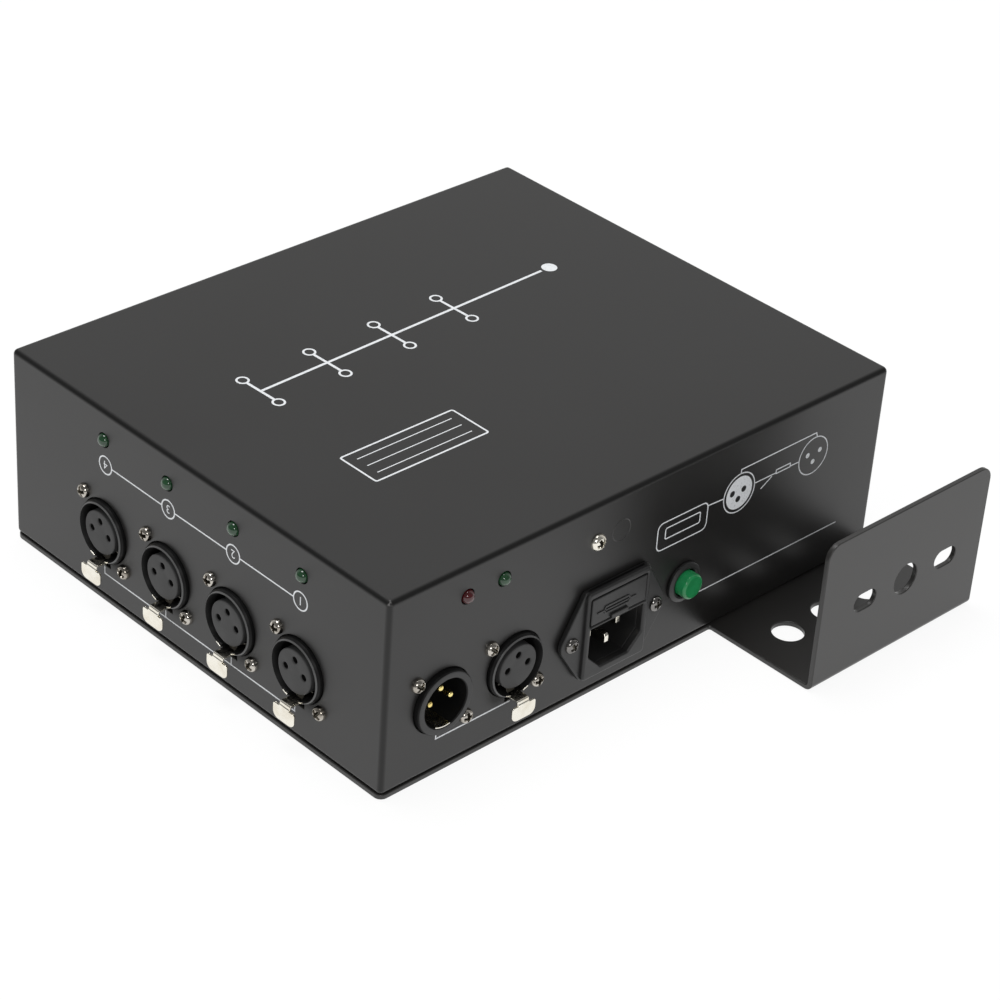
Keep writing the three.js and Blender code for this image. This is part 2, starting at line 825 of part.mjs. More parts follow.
const boardBottom = base.thickness + base.standoffHeight;
const boardTop = boardBottom + board.thickness;
const supplyRight = box.width / 2 - inlet.bodyDepth - blade.tail - supplyBoard.fromTails;
const supplyLeft = supplyRight - supplyBoard.width;
const supplyCentre = inletAcross + supplyBoard.pastInlet;
const mainLeft = mainBoard.fromFarEnd - box.width / 2;
const mainWidth = supplyLeft - mainBoard.fromSupply - mainLeft;
const socketBoardDepth = socket.bodyDepth + fit.seat + board.thickness;
const mainDepth = box.depth - 2 * (socketBoardDepth + mainBoard.fromSocketBoard);

function boardCorners(left, width, centre, depth) {
  const xs = [left + standoffInset, left + width - standoffInset];
  const ys = [centre - depth / 2 + standoffInset, centre + depth / 2 - standoffInset];
  return xs.flatMap((x) => ys.map((y) => [x, y]));
}

function coverScrewPlaces() {
  const x = box.width / 2 - box.sheet - box.lip / 2;
  const y = box.depth / 2 - coverScrew.inset;
  return [[-x, -y], [x, -y], [-x, y], [x, y]];
}

function basePlan() {
  const right = box.width / 2;
  const bendLine = bracketFace - bracket.bendRadius;
  const low = bracketMiddle - bracket.width / 2;
  const high = bracketMiddle + bracket.width / 2;
  const r = base.cornerRadius;
  const top = box.depth / 2;
  const shape = new THREE.Shape();
  shape.moveTo(-right + r, -top);
  shape.lineTo(right - r, -top);
  shape.absarc(right - r, -top + r, r, -quarterTurn, 0);
  shape.lineTo(right, low - r);
  shape.absarc(right + r, low - r, r, 2 * quarterTurn, quarterTurn, true);
  shape.lineTo(bendLine, low);
  shape.lineTo(bendLine, high);
  shape.lineTo(right, high);
  shape.lineTo(right, top);
  shape.lineTo(-right + r, top);
  shape.absarc(-right + r, top - r, r, quarterTurn, 2 * quarterTurn);
  shape.lineTo(-right, -top + r);
  shape.absarc(-right + r, -top + r, r, 2 * quarterTurn, 3 * quarterTurn);
  return shape;
}

function bracketUpright() {
  const face = bracketFace;
  const outer = bracket.bendRadius;
  const shape = new THREE.Shape();
  shape.moveTo(face - 2 * outer, 0);
  shape.lineTo(face - outer, 0);
  shape.absarc(face - outer, outer, outer, -quarterTurn, 0);
  shape.lineTo(face, bracket.height);
  shape.lineTo(face - base.thickness, bracket.height);
  shape.lineTo(face - base.thickness, outer);
  shape.absarc(face - outer, outer, outer - base.thickness, 0, -quarterTurn, true);
  shape.lineTo(face - 2 * outer, base.thickness);
  const half = bracket.width / 2;
  return plate(shape, -half, half).rotateX(quarterTurn).translate(0, bracketMiddle, 0);
}

// A tool drawn across and up, and set into the upright's outer face
function ontoUpright(tool) {
  return tool.rotateX(quarterTurn).rotateZ(quarterTurn).translate(bracketFace, bracketMiddle, 0);
}

const uprightFrom = -base.thickness - fit.overrun;

// The corners that the upright's rounding takes away
function uprightCorners() {
  const r = bracket.cornerRadius;
  const corners = [];
  for (const side of [-1, 1]) {
    const edge = (side * bracket.width) / 2;
    const shape = new THREE.Shape();
    shape.moveTo(edge + side * fit.overrun, bracket.height - r);
    shape.lineTo(edge + side * fit.overrun, bracket.height + fit.overrun);
    shape.lineTo(edge - side * r, bracket.height + fit.overrun);
    shape.lineTo(edge - side * r, bracket.height);
    const lastAngle = quarterTurn - side * quarterTurn;
    shape.absarc(edge - side * r, bracket.height - r, r, quarterTurn, lastAngle, side > 0);
    corners.push(ontoUpright(plate(shape, uprightFrom, fit.overrun)));
  }
  return corners;
}

function uprightHoles() {
  const round = rod(
    bracket.holeRadius, uprightFrom, fit.overrun, facets.turned, bracket.rowOffset, bracket.rowHeight,
  );
  const slots = [-1, 1].map((side) => plate(roundedRectangle(
    bracket.slotLength, bracket.slotWidth, bracket.slotWidth / 2,
    bracket.rowOffset + side * bracket.pitch, bracket.rowHeight,
  ), uprightFrom, fit.overrun));
  return [round, ...slots].map(ontoUpright);
}

function basePlate() {
  const standoffs = [
    ...boardCorners(mainLeft, mainWidth, 0, mainDepth),
    ...boardCorners(supplyLeft, supplyBoard.width, supplyCentre, supplyBoard.depth),
  ].map(([x, y]) => rod(base.standoffRadius, base.thickness / 2, boardBottom, facets.hole, x, y));
  const body = join(plate(basePlan(), 0, base.thickness), bracketUpright(), ...standoffs);
  const plateHoles = [-1, 0, 1].map((step) => rod(
    bracket.plateHoleRadius, -fit.overrun, base.thickness + fit.overrun, facets.turned,
    box.width / 2 + bracket.plateReach,
    bracketMiddle + bracket.plateOffset + step * bracket.platePitch,
  ));
  const sinks = coverScrewPlaces().map(([x, y]) => coverScrewShape(fit.screw)
    .translate(x, y, 0));
  return cut(body, [...plateHoles, ...sinks, ...uprightCorners(), ...uprightHoles()]);
}

// Countersunk screw, head down: the same profile with a clearance cuts its hole
function coverScrewShape(clear) {
  const bottom = clear ? -fit.overrun : coverScrew.recess;
  const top = clear ? base.thickness + box.sheet + fit.overrun : coverScrew.length;
  return turned([
    [0, bottom],
    [coverScrew.headRadius + clear, bottom],
    [coverScrew.headRadius + clear, coverScrew.recess + clear],
    [coverScrew.radius + clear, coverScrew.recess + coverScrew.headHeight - clear / 2],
    [coverScrew.radius + clear, top],
    [0, top],
  ], facets.screw);
}

addPiece(splitter, 'base_plate', toGeometry(basePlate()), finishes.powderCoat);
const coverScrewGeometry = toGeometry(toSolid(coverScrewShape(0)));
coverScrewPlaces().forEach(([x, y], i) => addPiece(
  splitter, `cover_screw_${i + 1}`, coverScrewGeometry, finishes.zinc, x, y,
));

// Cover: five sides and a turned-in lip, with bends of one radius and notches at the lip's corners

function coverShell() {
  const middle = coverBottom + coverHeight / 2;
  const outer = new RoundedBoxGeometry(box.width, box.depth, coverHeight, facets.bend, box.bendRadius)
    .translate(0, 0, middle);
  const twice = 2 * box.sheet;
  const inner = new RoundedBoxGeometry(
    box.width - twice, box.depth - twice, coverHeight - twice, facets.bend, box.bendRadius - box.sheet,
  ).translate(0, 0, middle);
  const lipFrom = coverBottom - fit.overrun;
  const lipTo = coverBottom + box.sheet + fit.overrun;
  const opening = block(box.width - twice - 2 * box.lip, box.depth - twice - 2 * box.lip, lipFrom, lipTo);
  const relief = box.lip + box.lipRelief;
  const reliefs = [[-1, -1], [1, -1], [-1, 1], [1, 1]].map(([sx, sy]) => block(
    relief, relief, lipFrom, lipTo,
    sx * (box.width / 2 - box.bendRadius - relief / 2),
    sy * (box.depth / 2 - box.bendRadius - relief / 2),
  ));
  const tapped = coverScrewPlaces().map(([x, y]) => rod(
    coverScrew.radius + fit.screw, lipFrom, lipTo, facets.screw, x, y,
  ));
  const holes = [...front.openings, ...end.openings, ...rear.openings];
  return cut(toSolid(outer), [inner, opening, ...reliefs, ...tapped, ...holes]);
}

addPiece(splitter, 'cover_shell', toGeometry(coverShell()), finishes.powderCoat);

// Boards: one behind each row of sockets, and the main and supply boards on their standoffs

function addSocketBoard(panel, name, first, last) {
  const height = box.height - socketBoard.topDown - socketBoard.bottom;
  const shape = roundedRectangle(
    last - first + 2 * socketBoard.margin, height, board.corner,
    (first + last) / 2, socketBoard.bottom + height / 2,
  );
  const face = -(socket.bodyDepth + fit.seat);
  const slab = plate(shape, face - board.thickness, face, facets.corner);
  addPiece(panel.group, name, toGeometry(toSolid(slab)), finishes.circuitBoard);
}

addSocketBoard(front, 'front_socket_board', rowMiddle - halfRow, rowMiddle + halfRow);
addSocketBoard(rear, 'rear_socket_board', -rowMiddle - halfRow, -rowMiddle + halfRow);
addSocketBoard(end, 'end_socket_board', inputAcross, throughAcross);

function mainBoardShape() {
  const middle = mainLeft + mainWidth / 2;
  const pieces = [plate(
    roundedRectangle(mainWidth, mainDepth, board.corner, middle),
    boardBottom, boardTop, facets.corner,
  )];
  for (const side of [-1, 1]) {
    for (let i = 0; i < chip.rows; i += 1) {
      const x = middle + (i - (chip.rows - 1) / 2) * (mainWidth / chip.rows);
      for (const share of chip.depthShares) {
        pieces.push(block(chip.width, chip.length, boardTop - board.thickness / 2,
          boardTop + chip.height, x, (side * share * mainDepth) / 2));
      }
    }
  }
  return join(...pieces);
}

const supplyMiddle = supplyLeft + supplyBoard.width / 2;

function supplyBoardShape() {
  const slab = plate(
    roundedRectangle(supplyBoard.width, supplyBoard.depth, board.corner, supplyMiddle, supplyCentre),
    boardBottom, boardTop, facets.corner,
  );
  const terminals = block(terminalBlock.width, terminalBlock.depth, boardTop - board.thickness / 2,
    boardTop + terminalBlock.height, supplyMiddle, supplyCentre + terminalBlock.place);
  return join(slab, terminals);
}

function transformerShape() {
  const coreHeight = transformer.height - 2 * transformer.bobbin;
  const windingWidth = transformer.width - 2 * transformer.coreInset;
  const winding = block(windingWidth, transformer.depth, 0, transformer.height);
  const core = block(transformer.width, transformer.depth - 2 * transformer.coreInset,
    transformer.bobbin, transformer.bobbin + coreHeight);
  return join(winding, core);
}

function capacitorShape() {
  return turned([
    [0, 0],
    [capacitor.radius, 0],
    [capacitor.radius, capacitor.height - capacitor.rim],
    [capacitor.rimRadius, capacitor.height],
    [0, capacitor.height],
  ], facets.turned);
}

addPiece(splitter, 'main_board', toGeometry(mainBoardShape()), finishes.circuitBoard);
addPiece(splitter, 'supply_board', toGeometry(supplyBoardShape()), finishes.circuitBoard);
addPiece(splitter, 'supply_transformer', toGeometry(transformerShape()), finishes.core,
  supplyMiddle, supplyCentre + transformer.place, boardTop);
addPiece(splitter, 'supply_capacitor', toGeometry(toSolid(capacitorShape())), finishes.canSleeve,
  supplyMiddle, supplyCentre + capacitor.place + capacitor.radius, boardTop);

// Wires inside: from the inlet's tails to the supply board and the earth screw, and on to the main board

function wireShape(points) {
  const curve = new THREE.CatmullRomCurve3(points.map((p) => new THREE.Vector3(...p)));
  const section = new THREE.Shape();
  section.absarc(0, 0, wire.radius, 0, 4 * quarterTurn);
  return toGeometry(toSolid(new THREE.ExtrudeGeometry(section, {
    steps: wire.steps,
    curveSegments: wire.sides / 2,
    extrudePath: curve,
    bevelEnabled: false,
  })));
}

const tailX = box.width / 2 - inlet.bodyDepth - blade.tail - fit.seat;
function tailPlace(name) {
  const [x, y] = bladePlaces()[name];
  return [tailX, inletAcross + x, endPanel.inletHeight + y];
}

function mainsWire(name, towards) {
  const [x, y, z] = tailPlace(name);
  const landX = supplyMiddle + towards * wire.radius * 2;
  const landY = supplyCentre + terminalBlock.place;
  const top = boardTop + terminalBlock.height + fit.seat;
  return wireShape([
    [x, y, z],
    [x - wire.bend, y, z],
    [(x + landX) / 2, (y + landY) / 2, Math.max(z, top) + wire.rise],
    [landX, landY, top + wire.rise],
    [landX, landY, top],
  ]);
}

addPiece(splitter, 'live_wire', mainsWire('inlet_live_blade', 1), finishes.brownWire);
addPiece(splitter, 'neutral_wire', mainsWire('inlet_neutral_blade', -1), finishes.blueWire);

const earthEnd = box.width / 2 - earth.length - wire.radius;
const [earthX, earthY, earthZ] = tailPlace('inlet_earth_blade');
addPiece(splitter, 'earth_wire', wireShape([
  [earthX, earthY, earthZ],
  [earthX - wire.bend, earthY, earthZ],
  [earthX - 2 * wire.bend, (earthY + earthAcross) / 2, (earthZ + earthHeight) / 2],
  [earthEnd - 2 * wire.bend, earthAcross, earthHeight],
  [earthEnd, earthAcross, earthHeight],
]), finishes.earthWire);

const supplyLeadY = supplyCentre + supplyBoard.depth / 2 - 2 * standoffInset;
const leadZ = boardTop + fit.seat;
addPiece(splitter, 'supply_lead', wireShape([
  [supplyLeft + wire.bend, supplyLeadY, leadZ],
  [supplyLeft + wire.bend, supplyLeadY, leadZ + wire.rise],
  [(supplyLeft + mainLeft + mainWidth) / 2, supplyLeadY, leadZ + 2 * wire.rise],
  [mainLeft + mainWidth - wire.bend, supplyLeadY, leadZ + wire.rise],
  [mainLeft + mainWidth - wire.bend, supplyLeadY, leadZ],
]), finishes.redWire);

export default splitter;
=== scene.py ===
import bmesh
import bpy
import numpy as np
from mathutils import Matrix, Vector
from mathutils.geometry import delaunay_2d_cdt


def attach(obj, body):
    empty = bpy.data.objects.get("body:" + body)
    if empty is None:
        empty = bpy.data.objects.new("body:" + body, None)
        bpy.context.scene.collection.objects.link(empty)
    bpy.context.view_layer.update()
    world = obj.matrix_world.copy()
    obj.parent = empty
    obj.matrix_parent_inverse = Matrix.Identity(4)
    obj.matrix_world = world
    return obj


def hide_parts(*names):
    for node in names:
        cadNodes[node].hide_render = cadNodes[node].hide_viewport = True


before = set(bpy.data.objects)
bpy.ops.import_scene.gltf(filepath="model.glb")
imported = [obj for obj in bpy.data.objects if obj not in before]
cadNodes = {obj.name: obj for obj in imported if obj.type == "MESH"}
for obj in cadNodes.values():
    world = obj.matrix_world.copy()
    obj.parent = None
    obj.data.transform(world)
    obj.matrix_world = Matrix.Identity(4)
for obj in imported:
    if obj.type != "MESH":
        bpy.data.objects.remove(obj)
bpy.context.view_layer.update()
print("frame loaded:", len(cadNodes), "nodes")

box = {"width": 198.0, "depth": 238.0, "height": 78.0, "sheet": 1.2, "bend": 2.0, "lip": 10.0, "lipCorner": 2.0,
       "bottom": 2.0}
halfWidth = box["width"] / 2
halfDepth = box["depth"] / 2


# Shader maths

class Value:
    # One output of a node; the operators add Math nodes beside it
    def __init__(self, tree, socket):
        self.tree = tree
        self.socket = socket

    def add(self, kind, settings, links, output=0):
        node = self.tree.nodes.new(kind)
        for name, value in settings.items():
            setattr(node, name, value)
        for key, value in links.items():
            if isinstance(value, Value):
                self.tree.links.new(value.socket, node.inputs[key])
            else:
                node.inputs[key].default_value = value
        return Value(self.tree, node.outputs[output])

    def maths(self, operation, first, second=0.0):
        return self.add("ShaderNodeMath", {"operation": operation}, {0: first, 1: second})

    def __add__(self, other):
        return self.maths("ADD", self, other)

    def __radd__(self, other):
        return self.maths("ADD", other, self)

    def __sub__(self, other):
        return self.maths("SUBTRACT", self, other)

    def __rsub__(self, other):
        return self.maths("SUBTRACT", other, self)

    def __mul__(self, other):
        return self.maths("MULTIPLY", self, other)

    def __rmul__(self, other):
        return self.maths("MULTIPLY", other, self)

    def least(self, other):
        return self.maths("MINIMUM", self, other)

    def most(self, other):
        return self.maths("MAXIMUM", self, other)

    def size(self):
        return self.maths("ABSOLUTE", self)

    def step(self, low, high, to=(0.0, 1.0)):
        return self.add("ShaderNodeMapRange", {"interpolation_type": "SMOOTHSTEP"},
                        {0: self, 1: low, 2: high, 3: to[0], 4: to[1]})

    def noise(self, scale, detail, roughness=0.5, stretch=None):
        place = self if stretch is None else self.add("ShaderNodeMapping", {}, {"Vector": self, "Scale": stretch})
        return self.add("ShaderNodeTexNoise", {},
                        {"Vector": place, "Scale": scale, "Detail": detail, "Roughness": roughness})

    def parts(self):
        node = self.tree.nodes.new("ShaderNodeSeparateXYZ")
        self.tree.links.new(self.socket, node.inputs[0])
        return [Value(self.tree, output) for output in node.outputs]

    def mix(self, first, second):
        return self.add("ShaderNodeMix", {"data_type": "RGBA"}, {0: self, 6: first, 7: second}, 2)

    def bump(self, strength, distance):
        return self.add("ShaderNodeBump", {}, {"Strength": strength, "Distance": distance, "Height": self})


def makeMaterial(name, constants, surface):
    # constants go straight on the shader's sockets; surface(place) gives what varies
    material = bpy.data.materials.new(name)
    material.use_nodes = True
    tree = material.node_tree
    shader = tree.nodes["Principled BSDF"]
    for socket, value in constants.items():
        shader.inputs[socket].default_value = value
    start = tree.nodes.new("ShaderNodeTexCoord")
    for socket, value in surface(Value(tree, start.outputs["Object"])).items():
        tree.links.new(value.socket, shader.inputs[socket])
    return material


def grey(value, warm=0.0):
    return (value * (1 + warm), value, value * (1 - warm), 1.0)


# Shapes: arrays of points in millimetres, each with its faces

def roundCorners(corners, radii, steps=5):
    # Every corner becomes an arc about a centre on its bisector, radius / sin(half the corner's angle) away
    corners = np.asarray(corners, float)
    radii = np.broadcast_to(np.asarray(radii, float), len(corners))
    loop = []
    for before, corner, after, radius in zip(np.roll(corners, 1, 0), corners, np.roll(corners, -1, 0), radii):
        if radius <= 0:
            loop.append(corner[None])
            continue
        toBefore = (before - corner) / np.linalg.norm(before - corner)
        toAfter = (after - corner) / np.linalg.norm(after - corner)
        half = np.arccos(np.clip(toBefore @ toAfter, -1, 1)) / 2
        bisector = (toBefore + toAfter) / np.linalg.norm(toBefore + toAfter)
        centre = corner + bisector * radius / np.sin(half)
        first = corner + toBefore * radius / np.tan(half) - centre
        last = corner + toAfter * radius / np.tan(half) - centre
        turn = np.pi - 2 * half
        share = np.linspace(0, 1, steps + 1)[:, None]
        loop.append(centre + (np.sin((1 - share) * turn) * first + np.sin(share * turn) * last) / np.sin(turn))
    return np.concatenate(loop)


def circle(radius, count, x=0.0, y=0.0, start=0.0, end=2 * np.pi):
    # (x + r cos a, y + r sin a), for count angles from start up to end, end left out where it closes
    angle = np.linspace(start, end, count, endpoint=abs(end - start) < 2 * np.pi - 1e-6)
    return np.column_stack([x + radius * np.cos(angle), y + radius * np.sin(angle)])


def rectangle(width, height, radii=0.0, x=0.0, y=0.0, steps=5):
    # Corners in the order bottom left, bottom right, top right, top left
    corners = np.array([[-1, -1], [1, -1], [1, 1], [-1, 1]]) * [width / 2, height / 2] + [x, y]
    return roundCorners(corners, radii, steps)


def offsetLoop(loop, distance):
    # Each point moves along the mitre of its two edges' left normals, n1 + n2 over 1 + n1.n2
    along = np.roll(loop, -1, 0) - loop
    along = along / np.linalg.norm(along, axis=1, keepdims=True)
    left = np.column_stack([-along[:, 1], along[:, 0]])
    before = np.roll(left, 1, 0)
    return loop + distance * (left + before) / (1 + (left * before).sum(1, keepdims=True))


def gridPart(points, wrapColumns=False, wrapRows=False):
    # Rows by columns of points, joined by quads
    rows, columns = points.shape[:2]
    index = np.arange(rows * columns).reshape(rows, columns)
    if wrapColumns:
        index = np.concatenate([index, index[:, :1]], 1)
    if wrapRows:
        index = np.concatenate([index, index[:1]], 0)
    faces = np.stack([index[:-1, :-1], index[:-1, 1:], index[1:, 1:], index[1:, :-1]], -1).reshape(-1, 4)
    return points.reshape(-1, 3), faces


def fillLoops(loops, out, creases=()):
    # Triangles of the loops' plane at height out, kept where a ray crosses the loops an odd number of times
    points = np.concatenate(loops)
    starts = np.cumsum([0] + [len(loop) for loop in loops])
    following = np.concatenate([np.roll(np.arange(a, b), -1) for a, b in zip(starts[:-1], starts[1:])])
    edges = np.column_stack([np.arange(len(points)), following]).tolist()
    for crease in creases:
        on = np.flatnonzero(np.abs(points[:, 0] - crease) < 1e-5)
        edges.append([int(on[np.argmin(points[on, 1])]), int(on[np.argmax(points[on, 1])])])
    result = delaunay_2d_cdt([Vector(point) for point in points.tolist()], edges, [], 0, 1e-7)
    corners = np.array([corner[:] for corner in result[0]])
    faces = np.array([face for face in result[2] if len(face) == 3])
    middle = corners[faces].mean(1)[:, None]
    first, second = points[None], points[following][None]
    between = (first[..., 1] > middle[..., 1]) != (second[..., 1] > middle[..., 1])
    rise = second[..., 1] - first[..., 1]
    rise = np.where(rise == 0, 1, rise)
    cross = first[..., 0] + (second[..., 0] - first[..., 0]) * (middle[..., 1] - first[..., 1]) / rise
    inside = (between & (middle[..., 0] < cross)).sum(1) % 2 == 1
    return np.column_stack([corners, np.full(len(corners), out)]), faces[inside]


def rim(loop, depth, edge, steps):
    # The loop's wall from out = 0 back to -depth: it starts and ends in quarter circles of radius edge
    angle = np.linspace(0, np.pi / 2, steps + 1)
    inset, drop = edge * (1 - np.sin(angle)), -edge * (1 - np.cos(angle))
    inset, drop = np.concatenate([inset, inset[::-1]]), np.concatenate([drop, (-depth - drop)[::-1]])
    rows = [np.column_stack([offsetLoop(loop, i), np.full(len(loop), d)]) for i, d in zip(inset, drop)]
    return gridPart(np.array(rows), wrapColumns=True)


def sheet(outline, holes, depth, edge, creases=(), steps=3):
    # A flat plate from out = 0 back to -depth, with its rims round every hole
    loops = [outline] + [hole[::-1] for hole in holes]
    parts = [rim(loop, depth, edge, steps) for loop in loops]
    inner = [offsetLoop(loop, edge) for loop in loops]
    front, faces = fillLoops(inner, 0.0, creases)
    parts += [(front, faces), (front - [0, 0, depth], faces[:, ::-1])]
    return parts


def turned(profile, radii, sides=56, steps=4, closed=False):
    # A profile of (radius, out), its corners rounded, turned about the out axis: from axis to axis, or closed
    line = roundCorners(profile, radii, steps)
    angle = np.linspace(0, 2 * np.pi, sides, endpoint=False)
    points = np.stack([line[:, :1] * np.cos(angle), line[:, :1] * np.sin(angle),
                       np.repeat(line[:, 1:], sides, 1)], -1)
    return [gridPart(points, wrapColumns=True, wrapRows=closed)]


def tube(inner, outer, back, front, sides):
    # Its edges are rounded by a tenth of a millimetre
    section = [(inner, front), (outer, front), (outer, back), (inner, back)]
    return turned(section, 0.1, sides, 2, closed=True)


def swept(section, angle):
    # A closed section of (radius, out), carried round the out axis through the rows of angles: sides, then caps
    rows, count = len(angle), len(section)
    grid = np.stack([section[:, 0] * np.cos(angle), section[:, 0] * np.sin(angle),
                     np.repeat(section[None, :, 1], rows, 0)], -1)
    points, faces = gridPart(grid, wrapColumns=True)
    last = len(points) - 1
    return [(points, faces)], [(points, [list(range(count))]), (points, [list(range(last, last - count, -1))])]


def sector(section, start, end, steps=12, radii=0.08):
    # The section from start to end degrees, measured from straight down
    angle = np.radians(np.linspace(start, end, steps + 1))[:, None] - np.pi / 2
    sides, caps = swept(roundCorners(section, radii, 3), angle)
    return sides + caps


def divided(parts, test):
    # The faces whose middle fails test(radius, out), and then those that pass it
    plain, marked = [], []
    for points, faces in parts:
        middle = points[faces].mean(1)
        passed = test(np.hypot(middle[:, 0], middle[:, 1]), middle[:, 2])
        plain.append((points, faces[~passed]))
        marked.append((points, faces[passed]))
    return plain, marked


def moved(parts, x=0.0, y=0.0, out=0.0):
    return [(points + [x, y, out], faces) for points, faces in parts]


def mapped(parts, change):
    return [(change(points), faces) for points, faces in parts]


def placed(parts, change, x, y, out=0.0):
    return mapped(moved(parts, x, y, out), change)


def toFront(points):
    return np.column_stack([points[:, 0], -halfDepth - points[:, 2], points[:, 1]])


def toRear(points):
    return np.column_stack([-points[:, 0], halfDepth + points[:, 2], points[:, 1]])


def toEnd(points):
    return np.column_stack([halfWidth + points[:, 2], points[:, 0], points[:, 1]])


def toTop(points):
    return np.column_stack([points[:, 0], points[:, 1], box["height"] + points[:, 2]])


def makePiece(name, parts, material, body="case", replaces=(), weighted=False, second=None):
    # second holds another material and the parts that have it; edges past 35 degrees stay sharp
    allParts = parts + second[1] if second else parts
    points = np.concatenate([part for part, faces in allParts]) * 0.001
    starts = np.cumsum([0] + [len(part) for part, faces in allParts])
    faces = [face for start, (part, some) in zip(starts, allParts) for face in (np.asarray(some) + start).tolist()]
    mesh = bpy.data.meshes.new(name)
    mesh.from_pydata(points.tolist(), [], faces)
    mesh.materials.append(material)
    if second:
        mesh.materials.append(second[0])
        slots = np.arange(len(faces)) >= sum(len(some) for part, some in parts)
        mesh.polygons.foreach_set("material_index", slots.astype(np.int32))
    work = bmesh.new()
    work.from_mesh(mesh)
    bmesh.ops.remove_doubles(work, verts=work.verts, dist=2e-6)
    bmesh.ops.dissolve_degenerate(work, edges=work.edges, dist=1e-6)
    bmesh.ops.recalc_face_normals(work, faces=work.faces)
    work.to_mesh(mesh)
    work.free()
    mesh.shade_smooth()
    mesh.set_sharp_from_angle(angle=np.radians(35.0))
    piece = bpy.data.objects.new(name, mesh)
    bpy.context.collection.objects.link(piece)
    if weighted:
        normals = piece.modifiers.new("evenNormals", "WEIGHTED_NORMAL")
        normals.keep_sharp = True
    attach(piece, body)
    if replaces:
        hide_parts(*replaces)


# Camera

view = {"place": (0.666133, -0.652650, 0.618026), "turn": (57.25977, -3.49850, 46.65948), "lens": 110.221}
cameraData = bpy.data.cameras.new("camera")
cameraData.lens = view["lens"]
cameraData.sensor_width = 36.0
cameraData.clip_start = 0.05
cameraData.clip_end = 50.0
camera = bpy.data.objects.new("camera", cameraData)
camera.location = view["place"]
camera.rotation_euler = [np.radians(angle) for angle in view["turn"]]
bpy.context.collection.objects.link(camera)
bpy.context.scene.camera = camera
print("camera set")


# Finishes

coat = {"color": 0.011, "plateColor": 0.021, "bendColor": 0.002, "topBend": 0.62, "sideBend": 0.28,
        "bendFade": (0.0018, 0.0008), "cornerFade": (0.0017, 0.0009), "rough": 0.34, "grain": 2600.0,
        "grainHeight": 1.2e-5}


def coatSurface(place, color, bends):
    # Orange peel from two noises; cloudy tone from a wide one; painted shade along the bends, darker and partly
    # metallic; paler patches at the corners; faint dust
    peel = place.noise(coat["grain"], 2.0, 0.55) + 0.6 * place.noise(coat["grain"] * 0.35, 2.0, 0.5)
    cloud = place.noise(9.0, 3.0, 0.55)
    dust = place.noise(420.0, 4.0, 0.7).step(0.66, 0.82)
    tone = cloud.step(0.3, 0.7).mix(grey(color * 0.86, 0.06), grey(color * 1.18, 0.03))
    rough = cloud.step(0.3, 0.7, (coat["rough"] - 0.03, coat["rough"] + 0.04)) + 0.06 * dust
    tone = (dust * 0.35).mix(tone, grey(0.03, 0.02))
    made = {"Base Color": tone, "Roughness": rough, "Normal": peel.bump(0.35, coat["grainHeight"])}
    # Painted shade: the rolled bends are darkened, made rougher and partly metallic, to draw the dark lines that shade
    # lays along them
    if bends:
        x, y, z = place.parts()
        fromX = halfWidth * 0.001 - x.size()
        fromY = halfDepth * 0.001 - y.size()
        fromTop = box["height"] * 0.001 - z
        topBend = fromTop.most(fromX.least(fromY)).step(*coat["bendFade"])
        sideBend = fromX.most(fromY).step(*coat["bendFade"])
        bend = (topBend * coat["topBend"]).most(sideBend * coat["sideBend"])
        tone = bend.mix(tone, grey(coat["bendColor"]))
        # Paler patches at the outer corners, broken up by a fine noise
        corner = fromTop.most(fromX.most(fromY)).step(*coat["cornerFade"]) * place.noise(900.0, 2.0).step(0.38, 0.6)
        tone = (corner * 0.8).mix(tone, grey(0.22, 0.02))
        made.update({"Base Color": tone, "Roughness": rough + 0.3 * bend, "Metallic": bend * 0.75})
    return made


powderCoat = makeMaterial("powderCoat", {"IOR": 1.5}, lambda place: coatSurface(place, coat["color"], True))
# The base plate and bracket take a lighter copy of the same coat: painted light on their shaded faces
plainCoat = makeMaterial("powderCoatPlain", {"IOR": 1.57}, lambda place: coatSurface(place, coat["plateColor"], False))


def plasticSurface(color, rough):
    # Fine spark-erosion grain, a slow change of tone, and a little more gloss where the tool was worn smooth
    def surface(place):
        fine = place.noise(1800.0, 3.0, 0.6)
        slow = place.noise(60.0, 2.0, 0.5)
        tone = slow.step(0.3, 0.7).mix(grey(color * 0.85), grey(color * 1.2))
        return {"Base Color": tone, "Roughness": slow.step(0.3, 0.7, (rough - 0.05, rough + 0.06)),
                "Normal": fine.bump(0.4, 8e-6)}
    return surface


socketPlastic = makeMaterial("socketPlastic", {"IOR": 1.27}, plasticSurface(0.006, 0.42))
# Painted highlight: a paler copy of the socket plastic for the collars' lip
lipPlastic = makeMaterial("lipPlastic", {"IOR": 1.5}, plasticSurface(0.080, 0.30))
insertPlastic = makeMaterial("insertPlastic", {"IOR": 1.48}, plasticSurface(0.036, 0.55))
inletPlastic = makeMaterial("inletPlastic", {"IOR": 1.48}, plasticSurface(0.016, 0.40))


def platedSurface(light, dark, rough):
    # Plated metal: fine streaks and cloudy tarnish
    def surface(place):
        streak = place.noise(700.0, 3.0, 0.6)
        tarnish = place.noise(190.0, 3.0, 0.55).step(0.35, 0.75)
        roughness = streak.step(0.3, 0.7, (rough * 0.7, rough * 1.4)) + 0.08 * tarnish
        return {"Base Color": tarnish.mix((*light, 1.0), (*dark, 1.0)), "Roughness": roughness,
                "Normal": streak.bump(0.25, 6e-6)}
    return surface


